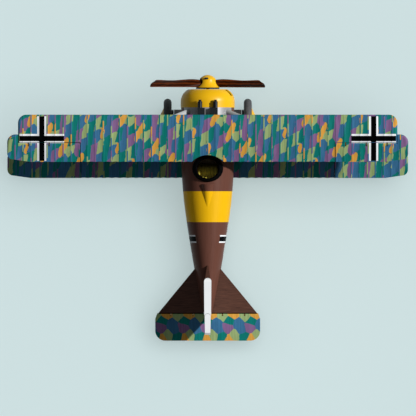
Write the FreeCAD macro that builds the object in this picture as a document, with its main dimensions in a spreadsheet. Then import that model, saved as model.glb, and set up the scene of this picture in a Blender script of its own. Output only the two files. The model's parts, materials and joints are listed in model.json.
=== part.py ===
"""A desk model of a rotary-engined biplane fighter, built of balsa, ply and light metal, in millimetres.

The pieces are drawn in level flight: X forward along the thrust line, Y to port, Z up, with the datum on the
thrust line at the firewall. STANCE then sets the whole machine down on its wheels and tail skid.
"""

import FreeCAD, Part

import math
import os
import re
from types import SimpleNamespace

import Sketcher
from FreeCAD import Placement, Rotation, Vector

# Driving dimensions. An "aft", "drop", "out" or "up" is a distance from the datum in that direction.
SIZES = {
    "ground_angle": 13,  # nose-up attitude at rest, degrees
    "running_gap": 0.05,  # radial clearance of a pin or shaft that turns
    "control_gap": 0.3,  # gap along a hinge line and beside a control surface
    # fuselage frames: distance aft, half width, half height, lift of the centre
    "frame_a_wide": 26.5, "frame_a_high": 26.5,
    "frame_b_aft": 24, "frame_b_wide": 26.5, "frame_b_high": 26.5,
    "frame_c_aft": 55, "frame_c_wide": 26.3, "frame_c_high": 26.3,
    "frame_d_aft": 92, "frame_d_wide": 23.9, "frame_d_high": 25, "frame_d_lift": 0.2,
    "frame_e_aft": 135, "frame_e_wide": 17.8, "frame_e_high": 22.2, "frame_e_lift": 0.8,
    "frame_f_aft": 170, "frame_f_wide": 11.8, "frame_f_high": 18, "frame_f_lift": 1.6,
    "stern_gap": 0.2, "frame_g_wide": 4.7, "frame_g_high": 12, "frame_g_lift": 3,
    "shell_wall": 2, "tail_block": 10,
    "former_thick": 1.6, "former_rim": 5, "former_first": 30, "former_pitch": 29, "former_count": 6,
    # cockpit
    "cockpit_aft": 61, "cockpit_half_wide": 11, "cockpit_half_long": 10,
    "coaming_side": 4.5, "coaming_end": 3.5, "coaming_rise": 1.7,
    "floor_drop": 9, "floor_thick": 1.2, "floor_front": 44, "floor_rear": 86,
    "panel_aft": 45.5, "panel_thick": 1.2, "panel_low": 6, "gauge_r": 2.4, "gauge_thick": 0.8,
    "gauge_pitch": 7, "gauge_up": 14,
    "seat_front": 56, "seat_rear": 71, "seat_up": 6, "seat_wide": 22, "seat_ply": 1.2,
    "seat_back_up": 21, "seat_lean": 3, "cushion_thick": 3, "cushion_round": 1.2,
    "headrest_aft": 76.5, "headrest_r": 6.6, "headrest_long": 36, "headrest_end_r": 0.6, "headrest_sink": 2.6,
    # nose
    "cowl_r": 27, "cowl_side": 6, "cowl_lip": 18.2, "cowl_face_r": 19.5, "cowl_mouth_r": 15, "cowl_wall": 1.2,
    "window_back": 11.8, "window_front": 17.4, "window_low": 3, "window_high": 11.5, "window_inner": 17.5,
    "firewall_thick": 2, "firewall_gap": 0.2, "bush_r": 3.2, "bush_flange_r": 5, "bush_flange": 1, "bush_back": 12,
    "shaft_r": 1.5, "shaft_front": 29.8, "shaft_head_r": 2.8, "shaft_head": 1.5, "shaft_play": 0.15,
    "deck_long": 20, "deck_gap": 0.1, "deck_thick": 0.45, "deck_spread": 61,
    "crank_sides": 11, "crank_r": 8.6, "crank_back": 3.6, "crank_front": 12.4,
    "cylinder_r": 1.8, "fin_r": 2.25, "cylinder_top": 24, "fin_count": 6, "cylinder_axis": 7.6,
    # propeller and spinner
    "spinner_tip": 32.7, "spinner_dome": 28.6, "spinner_dome_r": 8, "spinner_base": 20, "spinner_base_r": 11.7,
    "spinner_flare": 11, "spinner_wall": 0.8, "plate_back": 18.8,
    "prop_angle": 18, "boss_r": 5.6, "boss_front": 27.9, "blade_axis": 24.6, "blade_room": 4.9, "blade_rear": 20.3,
    "blade_root_out": 2, "blade_root_chord": 6.2, "blade_root_thick": 5.6, "blade_root_pitch": 62,
    "blade_neck_out": 12, "blade_neck_chord": 9.2, "blade_neck_thick": 4.4, "blade_neck_pitch": 56,
    "blade_middle_out": 26, "blade_middle_chord": 11.2, "blade_middle_thick": 3, "blade_middle_pitch": 40,
    "blade_broad_out": 46, "blade_broad_chord": 12.6, "blade_broad_thick": 2, "blade_broad_pitch": 34,
    "blade_brim_out": 56, "blade_brim_chord": 11.6, "blade_brim_thick": 1.5, "blade_brim_pitch": 35,
    "blade_tip_out": 60.4, "blade_tip_chord": 8, "blade_tip_thick": 0.9, "blade_tip_pitch": 36,
    "nut_r": 3.1, "nut_thick": 1.4,
    # guns
    "gun_out": 7.7, "jacket_r": 2.35, "jacket_front": 5.6, "muzzle_front": 7.6, "muzzle_r": 1.5, "gun_up": 29.5,
    "receiver_back": 38, "receiver_front": 0.5, "receiver_top": 31.6, "receiver_low": 24, "receiver_wide": 7,
    "receiver_out": 6.5, "grip_step": 8, "grip_drop": 2.2,
    # wings
    "wing_chord": 47, "wing_thick": 5.6, "te_thick": 0.8, "crest_x": 15.5, "nose_x": 1.2, "nose_z": 3.2,
    "wing_skin": 0.6, "wing_wall": 1, "cavity_end": 38.5, "cavity_start": 2,
    "rib_thick": 1.2, "rib_pitch": 8, "spar_wide": 2.4, "spar_low": 1.3, "spar_high": 3.9,
    "front_spar": 7, "rear_spar": 23.5,
    "upper_le": 7.4, "upper_up": 34, "lower_le": 23.3, "lower_drop": 26.8,
    "upper_half": 189, "lower_half": 190, "horn_out": 10.8, "tip_r": 8.3, "horn_r": 8,
    "notch_half": 15.8, "notch_deep": 6.8,
    "aileron_in": 127, "aileron_axis": 30.13, "horn_x": 19.7,
    "tip_side_x": 38.5, "tip_corner_x": 44.5, "tip_corner_in": 5.6, "tip_corner_r": 6.6, "tip_slant": 22.8,
    # hinges
    "hinge_count": 3, "hinge_pin_r": 0.5, "tang_wide": 1.2, "tang_high": 1.4, "tang_past": 0.9,
    "slot_past": 1.25, "tang_gap": 0.12, "pin_long": 5,
    "small_pin_r": 0.4, "small_tang_high": 1.2,
    # struts
    "strut_chord": 6, "strut_thick": 3, "strut_bury": 3,
    "cabane_foot_out": 19, "cabane_head_out": 42, "cabane_front_foot": 4.6, "cabane_front_head": 14,
    "cabane_rear_foot": 28, "cabane_rear_head": 36,
    "interplane_out": 119, "interplane_chord": 6.5, "diagonal_chord": 4, "diagonal_gap": 0.3,
    # undercarriage
    "axle_aft": 8.5, "axle_drop": 54, "axle_r": 1.2, "axle_end": 45.2, "leg_top_out": 14, "leg_foot_out": 31,
    "front_leg_top": 6, "rear_leg_top": 17.5, "leg_chord": 8, "leg_thick": 2.6, "leg_past": 3,
    "fairing_chord": 14, "fairing_thick": 4, "fairing_half": 33.8,
    "wheel_out": 40.3, "wheel_r": 18, "tyre_r": 4, "rim_r": 10.5, "flange_r": 7, "flange_thick": 2,
    "flange_face": 6.1, "rim_face": 3, "web_face": 1.2, "web_r": 9, "hub_r": 3.2, "hub_face": 2.6,
    "cover_tip": 7.5, "cover_tip_r": 1.6, "cover_wall": 0.5, "collar_r": 2.2, "collar_thick": 1.2,
    "collar_gap": 0.25,
    # tail: chords, runs and leads are measured from the sternpost
    "tail_te": 205.2, "tail_up": 6, "tail_thick": 3, "tail_chord": 45.2, "tail_root": 12, "tail_half": 49.2,
    "elevator_chord": 27.8, "elevator_half": 50.2, "elevator_wide": 52.4, "elevator_run": 5.8,
    "elevator_round": 10, "elevator_te_thick": 1,
    "fin_chord": 35.2, "fin_thick": 7.3, "fin_rear_thick": 6.7, "fin_lip": 1.2, "fin_top": 55, "fin_top_round": 4,
    "fin_foot": 8,
    "rudder_chord": 21.3, "rudder_te_thick": 5.4, "rudder_nose": 3, "rudder_foot": 12, "rudder_heel": 6.3,
    "rudder_heel_up": 29, "rudder_top_drop": 2,
    "fillet_long": 13, "fillet_end_thick": 1, "fillet_thick": 6, "fillet_low": 20, "fillet_high": 46,
    "skid_lead": 27.2, "skid_top_drop": 6, "skid_slope": 49, "skid_thick": 3.2, "skid_wide": 4.4, "skid_long": 40,
}

doc = FreeCAD.newDocument("Biplane")
sheet = doc.addObject("Spreadsheet::Sheet", "Sizes")
for row, (alias, value) in enumerate(SIZES.items(), start=1):
    sheet.set(f"A{row}", alias)
    sheet.set(f"B{row}", str(value))
    sheet.setAlias(f"B{row}", alias)
doc.recompute()
size = SimpleNamespace(**{alias: sheet.get(alias) for alias in SIZES})

# Turns of a piece's own axes: its local X, Y or Z axis is carried to the named direction of the machine.
LEVEL = Rotation()
PROFILE = Rotation(Vector(1, 0, 0), 90)  # local Y up, local Z to starboard
Z_TO_PORT = Rotation(Vector(1, 0, 0), -90)
X_TO_PORT = Rotation(Vector(0, 0, 1), 90)
Z_FORWARD = Rotation(Vector(0, 1, 0), 90)
FRAME = Rotation(Vector(0, 1, 0), -90)  # local X up, local Z aft

STANCE_TURN = Rotation(Vector(0, 1, 0), -size.ground_angle)
ground = STANCE_TURN.multVec(Vector(-size.axle_aft, 0, -size.axle_drop)).z - size.wheel_r
nose = STANCE_TURN.multVec(Vector(size.spinner_tip, 0, 0)).x
tail = STANCE_TURN.multVec(Vector(-size.tail_te - size.rudder_chord, 0, size.fin_top - size.rudder_top_drop)).x
STANCE = Placement(Vector(-(nose + tail) / 2, 0, -ground), STANCE_TURN)


# Ways of making a piece -------------------------------------------------------------------------------


def put(thing, at=(0, 0, 0), turn=LEVEL):
    """Sets a piece down in the standing attitude, from its place in level flight."""
    thing.Placement = STANCE.multiply(Placement(Vector(*at), turn))
    return thing


def in_sheet(text):
    """An expression in which every named size points at its cell."""
    return re.sub(r"[a-z]\w*", lambda word: f"Sizes.{word[0]}" if word[0] in SIZES else word[0], str(text))


def number(text):
    """The value of an expression of sizes."""
    return float(sheet.evalExpression(in_sheet(text)))


def bind(thing, **properties):
    """Ties properties to expressions of the sheet's sizes."""
    for name, text in properties.items():
        thing.setExpression(name, in_sheet(text))
    return thing


def outline(sketch, corners):
    """Draws a closed outline, with every corner and radius tied to the sheet.

    A corner is (x, y) where a straight side starts, or (x, y, radius, way) where a round one does, and way is
    "left" or "right" as the round side turns.
    """
    def value(text):
        return float(sketch.evalExpression(in_sheet(text)))

    points = [Vector(value(corner[0]), value(corner[1]), 0) for corner in corners]
    first, ends = sketch.GeometryCount, []
    for here, there, corner in zip(points, points[1:] + points[:1], corners):
        if len(corner) == 2:
            sketch.addGeometry(Part.LineSegment(here, there))
            ends.append((1, 2))
            continue
        radius = value(corner[2])
        side = 1 if corner[3] == "left" else -1
        along = there - here
        reach = math.sqrt(max(radius**2 - along.Length**2 / 4, 0))
        centre = (here + there) / 2 + Vector(-along.y, along.x, 0).normalize() * reach * side
        start, end = (here, there) if side > 0 else (there, here)
        angles = [math.atan2(p.y - centre.y, p.x - centre.x) for p in (start, end)]
        sketch.addGeometry(Part.ArcOfCircle(Part.Circle(centre, Vector(0, 0, 1), radius), *angles))
        ends.append((1, 2) if side > 0 else (2, 1))
    for n, (corner, point) in enumerate(zip(corners, points)):
        edge, after = first + n, first + (n + 1) % len(corners)
        sketch.addConstraint(Sketcher.Constraint("Coincident", edge, ends[n][1], after, ends[after - first][0]))
        for kind, text, number in (("DistanceX", corner[0], point.x), ("DistanceY", corner[1], point.y)):
            tied(sketch, Sketcher.Constraint(kind, -1, 1, edge, ends[n][0], number), text)
        if len(corner) > 2:
            tied(sketch, Sketcher.Constraint("Radius", edge, value(corner[2])), corner[2])


def tied(sketch, constraint, text):
    """Adds a constraint and ties its value to the sheet."""
    place = sketch.addConstraint(constraint)
    sketch.setExpression(f"Constraints[{place}]", in_sheet(text))


def solid_body(label, corners):
    """A body with one outline on its XY plane."""
    thing = doc.addObject("PartDesign::Body", label)
    sketch = thing.newObject("Sketcher::SketchObject", label + "_outline")
    floor = next(item for item in thing.Origin.OriginFeatures if item.Role == "XY_Plane")
    sketch.AttachmentSupport = [(floor, "")]
    sketch.MapMode = "FlatFace"
    outline(sketch, corners)
    return thing, sketch


def padded(label, corners, length, at=(0, 0, 0), turn=LEVEL, middle=True):
    """An outline padded along local Z, to both sides or upwards."""
    thing, sketch = solid_body(label, corners)
    pad = thing.newObject("PartDesign::Pad", label + "_pad")
    pad.Profile = sketch
    pad.SideType = "Symmetric" if middle else "One side"
    bind(pad, Length=length)
    return put(thing, at, turn)


def spun(label, corners, at=(0, 0, 0), turn=LEVEL, angle="360"):
    """A half outline turned about local X, all the way round or spread evenly about local Y."""
    thing, sketch = solid_body(label, corners)
    spin = thing.newObject("PartDesign::Revolution", label + "_spin")
    spin.Profile = sketch
    spin.ReferenceAxis = (sketch, ["H_Axis"])
    spin.Midplane = angle != "360"
    bind(spin, Angle=angle)
    return put(thing, at, turn)


def box(label, length, width, height, at, turn=LEVEL):
    """A block centred across Y, from its rear lower edge at the given place."""
    thing = bind(doc.addObject("Part::Box", label), Length=length, Width=width, Height=height)
    half = float(thing.evalExpression(in_sheet(width))) / 2
    return put(thing, Vector(*at) + turn.multVec(Vector(0, -half, 0)), turn)


def rod(label, radius, length, at, turn):
    """A round rod along local Z from the given place."""
    return put(bind(doc.addObject("Part::Cylinder", label), Radius=radius, Height=length), at, turn)


def cone(label, radius, end_radius, length, at, turn):
    """A taper along local Z from the given place."""
    thing = doc.addObject("Part::Cone", label)
    return put(bind(thing, Radius1=radius, Radius2=end_radius, Height=length), at, turn)


def cut(label, base, *tools):
    """A piece less everything that passes through it."""
    for n, tool in enumerate(tools, start=1):
        thing = doc.addObject("Part::Cut", label if n == len(tools) else f"{label}_cut{n}")
        thing.Base, thing.Tool = base, tool
        base = thing
    return base


def shared(label, one, other):
    """What two shapes have in common."""
    thing = doc.addObject("Part::Common", label)
    thing.Base, thing.Tool = one, other
    return thing


def joined(label, *shapes):
    """Shapes that are one piece."""
    thing = doc.addObject("Part::MultiFuse", label)
    thing.Shapes = list(shapes)
    return thing


def grouped(label, *shapes):
    """Separate pieces of one kind."""
    thing = doc.addObject("Part::Compound", label)
    thing.Links = list(shapes)
    return thing


def mirrored(label, source):
    """The starboard copy of a port piece."""
    thing = doc.addObject("Part::Mirroring", label)
    thing.Source, thing.Base, thing.Normal = source, Vector(0, 0, 0), Vector(0, 1, 0)
    return thing


def pair(label, port):
    """A port piece with its starboard copy, under one name."""
    port.Label = label + "_port"
    return grouped(label, port, mirrored(label + "_starboard", port))


def strut(label, foot, head, chord, thick, bury="strut_bury"):
    """A streamlined strut between two places, run on at both ends so that its seats can trim it."""
    run = Vector(*head) - Vector(*foot)
    extra = float(sheet.evalExpression(in_sheet(bury)))
    axis = Vector(run).normalize()
    turn = Rotation(Vector(1, 0, 0), Vector(), axis, "ZXY")
    curve = f"({chord}^2 + {thick}^2) / (4 * {thick})"
    lens = [(f"-{chord} / 2", "0", curve, "left"), (f"{chord} / 2", "0", curve, "left")]
    length = f"{run.Length} + 2 * {bury}"
    return padded(label, lens, length, Vector(*foot) - axis * extra, turn, middle=False)


# Fuselage ---------------------------------------------------------------------------------------------

FRAMES = [
    (0, size.frame_a_wide, size.frame_a_high, 0, "frame_a"),
    (size.frame_b_aft, size.frame_b_wide, size.frame_b_high, 0, "frame_b"),
    (size.frame_c_aft, size.frame_c_wide, size.frame_c_high, 0, "frame_c"),
    (size.frame_d_aft, size.frame_d_wide, size.frame_d_high, size.frame_d_lift, "frame_d"),
    (size.frame_e_aft, size.frame_e_wide, size.frame_e_high, size.frame_e_lift, "frame_e"),
    (size.frame_f_aft, size.frame_f_wide, size.frame_f_high, size.frame_f_lift, "frame_f"),
    (size.tail_te - size.stern_gap, size.frame_g_wide, size.frame_g_high, size.frame_g_lift, "frame_g"),
]


def frame_at(aft):
    """Half width and top height of the fuselage at a distance aft, straight between its frames."""
    for front, rear in zip(FRAMES, FRAMES[1:]):
        if aft <= rear[0]:
            break
    part = (aft - front[0]) / (rear[0] - front[0])
    wide, high, lift = (front[n] * (1 - part) + rear[n] * part for n in (1, 2, 3))
    return wide, high + lift


def top_at(aft):
    """Height of the fuselage's top line at a distance aft."""
    return frame_at(aft)[1]


def fuselage_loft(label, wall, shorten):
    """The round body through its frames, drawn in by a wall and stopped short of the sternpost."""
    rings = []
    for aft, _, _, lift, frame in FRAMES:
        ring = doc.addObject("Part::Ellipse", f"{label}_{frame}")
        bind(ring, MajorRadius=f"{frame}_high - {wall}", MinorRadius=f"{frame}_wide - {wall}")
        last = frame == FRAMES[-1][4]
        rings.append(put(ring, (-(aft - shorten * last), 0, lift), FRAME))
    loft = doc.addObject("Part::Loft", label)
    loft.Sections, loft.Solid = rings, True
    return loft


hull = fuselage_loft("hull", "0", 0)
hollow = fuselage_loft("hull_hollow", "shell_wall", size.tail_block)


def well(label, grow_long, grow_wide):
    """An upright elliptical column through the cockpit opening."""
    ring = doc.addObject("Part::Ellipse", label + "_ring")
    bind(ring, MajorRadius=f"cockpit_half_wide + {grow_wide}", MinorRadius=f"cockpit_half_long + {grow_long}")
    put(ring, (-size.cockpit_aft, 0, size.panel_low), Rotation(Vector(0, 0, 1), 90))
    column = doc.addObject("Part::Extrusion", label)
    column.Base, column.Solid, column.DirMode = ring, True, "Normal"
    return bind(column, LengthFwd="frame_b_high * 1.5")


# Wings ------------------------------------------------------------------------------------------------

REAR_RADIUS = "((wing_chord - crest_x)^2 + (wing_thick - te_thick)^2) / (2 * (wing_thick - te_thick))"
FRONT_RADIUS = "((crest_x - nose_x)^2 + (wing_thick - nose_z)^2) / (2 * (wing_thick - nose_z))"
NOSE_RADIUS = "((nose_z / 2)^2 + nose_x^2) / (2 * nose_x)"


def roof(x, skin="0"):
    """Height of the wing's upper surface behind its crest, at x aft of the leading edge, less a skin."""
    radius = f"({REAR_RADIUS} - {skin})"
    return f"(wing_thick - {REAR_RADIUS} + sqrt({radius}^2 - ({x} - crest_x)^2))"


def brow(x, skin):
    """Height of the inner surface ahead of the crest, at x aft of the leading edge, less a skin."""
    radius = f"({FRONT_RADIUS} - {skin})"
    return f"(wing_thick - {FRONT_RADIUS} + sqrt({radius}^2 - (crest_x - {x})^2))"


SECTION = [
    ("-nose_x", "0"),
    ("-wing_chord", "0"),
    ("-wing_chord", "te_thick", REAR_RADIUS, "right"),
    ("-crest_x", "wing_thick", FRONT_RADIUS, "right"),
    ("-nose_x", "nose_z", NOSE_RADIUS, "right"),
]
CAVITY_SECTION = [
    ("-cavity_start", "wing_skin"),
    ("-cavity_end", "wing_skin"),
    ("-cavity_end", roof("cavity_end", "wing_skin"), f"{REAR_RADIUS} - wing_skin", "right"),
    ("-crest_x", "wing_thick - wing_skin", f"{FRONT_RADIUS} - wing_skin", "right"),
    ("-cavity_start", brow("cavity_start", "wing_skin")),
]


def to_starboard(corners):
    """The rest of an outline that is alike on both sides, read on from its port half."""
    back = []
    for n in reversed(range(len(corners))):
        rounded = corners[n - 1][2:] if n else ()
        back.append((corners[n][0], f"-({corners[n][1]})", *rounded))
    return back


HALF_NOSE = f"({roof('aileron_axis')} / 2)"  # radius of an aileron's nose, round its hinge axis
BAY = f"(aileron_axis - {HALF_NOSE} - control_gap)"  # the aileron bay's wall, aft of the leading edge


def panel_plan(half, notch):
    """A wing panel's outline, from its nose to port, round the aileron bays and back."""
    port = [
        ("0", f"{half} - tip_r", "tip_r", "left"),
        ("-tip_r", half),
        (f"-{BAY}", half),
        (f"-{BAY}", "aileron_in"),
        ("-wing_chord", "aileron_in"),
    ]
    curve = "(notch_half^2 + notch_deep^2) / (2 * notch_deep)"
    middle = [("-wing_chord", "notch_half", curve, "right"), ("-wing_chord", "-notch_half")] if notch else []
    return port + middle + to_starboard(port)


def cavity_plan(half):
    """The space inside the covering, seen from above."""
    port = [
        ("0", f"{half} - tip_r"),
        ("-tip_r", f"{half} - wing_wall"),
        (f"-({BAY} - wing_wall)", f"{half} - wing_wall"),
        (f"-({BAY} - wing_wall)", "aileron_in - wing_wall"),
        ("-wing_chord", "aileron_in - wing_wall"),
    ]
    return port + to_starboard(port)


def aileron_plan(half):
    """A port aileron's outline: out along its nose, round the horn, and in along the raked tip."""
    tip = f"({half} + horn_out)"
    inner = "(aileron_in + control_gap)"
    return [
        *horn_front(tip, inner),
        ("-tip_side_x", tip, "tip_corner_r", "left"),
        ("-tip_corner_x", f"{tip} - tip_corner_in"),
        ("-wing_chord", f"{tip} - tip_slant"),
        ("-wing_chord", inner),
    ]


def horn_plan(half):
    """The balance horn's outline, which reaches ahead of the hinge outboard of the wing panel."""
    tip, inner = f"({half} + horn_out)", f"({half} + control_gap)"
    return [*horn_front(tip, inner), ("-aileron_axis", tip), ("-aileron_axis", inner)]


def horn_front(tip, inner):
    """The horn's leading edge and its rounded front corner."""
    return [("-horn_x", inner), ("-horn_x", f"{tip} - horn_r", "horn_r", "left"), ("-(horn_x + horn_r)", tip)]


def hinge(label, at, turn, reach, pin_radius, tang_high):
    """A tang on the fixed side, with its pin along local Z, and the room that both need in what swings."""
    tang = box(label + "_tang", f"{reach} + tang_past", tang_high, "tang_wide",
               Vector(*at) + turn.multVec(Vector(-size.tang_past, 0, -size.tang_wide / 2)), turn)
    pin = rod(label + "_pin", pin_radius, "pin_long", Vector(*at) - turn.multVec(Vector(0, 0, size.pin_long / 2)),
              turn)
    slot_wide = "tang_wide + 2 * tang_gap"
    slot = box(label + "_slot", f"{reach} + slot_past", "wing_thick * 2", slot_wide,
               Vector(*at) + turn.multVec(Vector(-size.slot_past, 0, -number(slot_wide) / 2)), turn)
    bore_long = "pin_long + 2 * control_gap"
    bore = rod(label + "_bore", f"{pin_radius} + running_gap", bore_long,
               Vector(*at) - turn.multVec(Vector(0, 0, number(bore_long) / 2)), turn)
    return joined(label, tang, pin), [slot, bore]


def make_wing(name, half, nose_at, notch):
    """One wing: covering, ribs and spars, with its port aileron and the hinges between them."""
    at = (-nose_at[0], 0, nose_at[1])
    reach = f"2 * ({half} + horn_out)"
    bar = padded(f"{name}_bar", SECTION, reach, at, PROFILE)
    slab = padded(f"{name}_slab", panel_plan(half, notch), "4 * wing_thick", at)
    blank = shared(f"{name}_blank", bar, slab)
    cavity_bar = padded(f"{name}_cavity_bar", CAVITY_SECTION, reach, at, PROFILE)
    cavity_slab = padded(f"{name}_cavity_slab", cavity_plan(half), "4 * wing_thick", at)
    cavity = shared(f"{name}_cavity", cavity_bar, cavity_slab)
    covering = cut(f"{name}_wing", blank, cavity)

    spar_boxes = []
    for spar in ("front_spar", "rear_spar"):
        place = (at[0] - number(f"{spar} + spar_wide"), 0, at[2] + size.spar_low)
        spar_boxes.append(box(f"{name}_{spar}", "spar_wide", f"2 * ({half} - wing_wall)",
                              "spar_high - spar_low", place))
    spars = shared(f"{name}_wing_spars", cavity, grouped(f"{name}_spar_pair", *spar_boxes))
    count = int((number(half) - size.wing_wall) // size.rib_pitch)
    slices = [box(f"{name}_slice{n}", "wing_chord", "rib_thick", "wing_thick",
                  (at[0] - size.wing_chord, n * size.rib_pitch, at[2])) for n in range(-count, count + 1)]
    ribs = cut(f"{name}_wing_ribs", shared(f"{name}_rib_row", cavity, grouped(f"{name}_slices", *slices)),
               *spar_boxes)

    nose_bar = padded(f"{name}_aileron_bar", [
        ("-aileron_axis", "0"),
        ("-wing_chord", "0"),
        ("-wing_chord", "te_thick", REAR_RADIUS, "right"),
        ("-aileron_axis", roof("aileron_axis"), HALF_NOSE, "right"),
        (f"-(aileron_axis - {HALF_NOSE})", HALF_NOSE, HALF_NOSE, "right"),
    ], reach, at, PROFILE)
    body_slab = padded(f"{name}_aileron_slab", aileron_plan(half), "4 * wing_thick", at)
    horn_slab = padded(f"{name}_horn_slab", horn_plan(half), "4 * wing_thick", at)
    blank_aileron = joined(f"{name}_aileron_blank", shared(f"{name}_aileron_body", nose_bar, body_slab),
                           shared(f"{name}_horn", bar, horn_slab))
    axis = (at[0] - size.aileron_axis, 0, at[2] + number(HALF_NOSE))
    span = number(half) - size.aileron_in
    tangs, rooms = [], []
    for n in range(size.hinge_count):
        place = (axis[0], size.aileron_in + span * (n + 0.5) / size.hinge_count, axis[2])
        tang, room = hinge(f"{name}_hinge{n}", place, Z_TO_PORT, f"aileron_axis - {BAY}", "hinge_pin_r", "tang_high")
        tangs.append(tang)
        rooms += room
    aileron = cut(f"{name}_left_aileron", blank_aileron, *rooms)
    return SimpleNamespace(blank=blank, covering=covering, spars=spars, ribs=ribs, aileron=aileron, tangs=tangs)


upper = make_wing("upper", "upper_half", (size.upper_le, size.upper_up), notch=True)
lower = make_wing("lower", "lower_half", (size.lower_le, -size.lower_drop), notch=False)
LOWER_ROOF = size.wing_thick - size.lower_drop

# Struts, each trimmed where it seats ------------------------------------------------------------------

deck_top = rod("deck_top", "frame_a_high + deck_gap + deck_thick", "deck_long", (-size.deck_long, 0, 0), Z_FORWARD)


def cabane(name, foot_aft, head_aft):
    """A port cabane strut, from the fuselage's shoulder out to the upper wing."""
    rise = math.sqrt(size.frame_a_high**2 - size.cabane_foot_out**2)
    line = strut(f"cabane_{name}_bar", (-foot_aft, size.cabane_foot_out, rise),
                 (-head_aft, size.cabane_head_out, size.upper_up), "strut_chord", "strut_thick")
    return cut(f"cabane_{name}", line, upper.blank, hull, deck_top)


cabane_front = cabane("front", size.cabane_front_foot, size.cabane_front_head)
cabane_rear = cabane("rear", size.cabane_rear_foot, size.cabane_rear_head)
cabane_struts = grouped("cabane_struts", cabane_front, mirrored("cabane_front_starboard", cabane_front),
                        cabane_rear, mirrored("cabane_rear_starboard", cabane_rear))

FRONT_SEAT = size.front_spar + size.spar_wide / 2
REAR_SEAT = size.rear_spar + size.spar_wide / 2


def interplane(name, foot_seat, head_seat, chord):
    """A port strut between the wings, its ends at distances aft of their leading edges."""
    foot = (-size.lower_le - foot_seat, size.interplane_out, LOWER_ROOF)
    head = (-size.upper_le - head_seat, size.interplane_out, size.upper_up)
    line = strut(f"interplane_{name}_bar", foot, head, chord, "strut_thick")
    return cut(f"interplane_{name}", line, upper.blank, lower.blank)


interplane_front = interplane("front", FRONT_SEAT, FRONT_SEAT, "interplane_chord")
interplane_rear = interplane("rear", REAR_SEAT, REAR_SEAT, "interplane_chord")
interplane_struts = grouped("interplane_struts", interplane_front,
                            mirrored("interplane_front_starboard", interplane_front),
                            interplane_rear, mirrored("interplane_rear_starboard", interplane_rear))
inset = (size.interplane_chord + size.diagonal_chord) / 2 + size.diagonal_gap
diagonal = interplane("diagonal", FRONT_SEAT + inset, REAR_SEAT - inset, "diagonal_chord")
interplane_diagonals = pair("interplane_diagonals", diagonal)

# Undercarriage ----------------------------------------------------------------------------------------

AXLE = (-size.axle_aft, 0, -size.axle_drop)
axle = rod("axle", "axle_r", "2 * axle_end", (AXLE[0], -size.axle_end, AXLE[2]), Z_TO_PORT)


def leg(name, top_aft):
    """One port undercarriage leg, from the fuselage's belly to the axle."""
    drop = math.sqrt(size.frame_a_high**2 - size.leg_top_out**2)
    return strut(f"leg_{name}", (AXLE[0], size.leg_foot_out, AXLE[2]), (-top_aft, size.leg_top_out, -drop),
                 "leg_chord", "leg_thick", "leg_past")


legs = joined("leg_vee", leg("front", size.front_leg_top), leg("rear", size.rear_leg_top))
undercarriage_legs = pair("undercarriage_legs", cut("leg_vee_trimmed", legs, hull, lower.blank, axle))
curve = "(fairing_chord^2 + fairing_thick^2) / (4 * fairing_thick)"
lens = [("-fairing_chord / 2", "0", curve, "left"), ("fairing_chord / 2", "0", curve, "left")]
fairing = padded("fairing_bar", lens, "2 * fairing_half", AXLE, PROFILE)
axle_fairing = cut("axle_fairing", fairing, axle, undercarriage_legs)

collar_at = size.wheel_out + size.hub_face + size.collar_gap
collar_ring = rod("collar_ring", "collar_r", "collar_thick", (AXLE[0], collar_at, AXLE[2]), Z_TO_PORT)
collar = cut("collar", collar_ring, axle)
axle_collars = pair("axle_collars", collar)

# Wheels: profiles along the axle from the wheel's middle, outwards on the port side -------------------

SEAT = "sqrt(tyre_r^2 - (wheel_r - tyre_r - rim_r)^2)"  # half width of the tyre's seat on the rim
tyre_profile = [
    (f"-{SEAT}", "rim_r", "tyre_r", "right"),
    ("-tyre_r", "wheel_r - tyre_r", "tyre_r", "right"),
    ("0", "wheel_r", "tyre_r", "right"),
    ("tyre_r", "wheel_r - tyre_r", "tyre_r", "right"),
    (SEAT, "rim_r"),
]
bore = "axle_r + running_gap"
disc_profile = [
    ("-flange_face", bore),
    ("-flange_face", "flange_r"),
    ("-flange_face + flange_thick", "flange_r"),
    (f"-{SEAT}", "rim_r"),
    ("rim_face", "rim_r"),
    ("rim_face", "web_r"),
    ("web_face", "web_r"),
    ("web_face", "hub_r"),
    ("hub_face", "hub_r"),
    ("hub_face", bore),
]
cover_profile = [
    ("rim_face", "rim_r"),
    ("cover_tip", "cover_tip_r"),
    ("cover_tip", "0"),
    ("cover_tip - cover_wall", "0"),
    ("cover_tip - cover_wall", "cover_tip_r - cover_wall / 2"),
    ("rim_face", "web_r"),
]
wheel_at = (AXLE[0], size.wheel_out, AXLE[2])
wheels = []
for piece, profile in (("tyre", tyre_profile), ("wheel_disc", disc_profile), ("wheel_cover", cover_profile)):
    left = spun(f"left_{piece}", profile, wheel_at, X_TO_PORT)
    wheels += [left, mirrored(f"right_{piece}", left)]

# Tail -------------------------------------------------------------------------------------------------

TAIL_AXIS = "(tail_te + control_gap + tail_thick / 2)"
ELEVATOR_TE = "(tail_te + elevator_chord)"
tail_plan = [("-(tail_te - tail_chord)", "tail_root"), ("-tail_te", "tail_half")]
tailplane = padded("tailplane", tail_plan + to_starboard(tail_plan), "tail_thick", (0, 0, size.tail_up))

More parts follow.
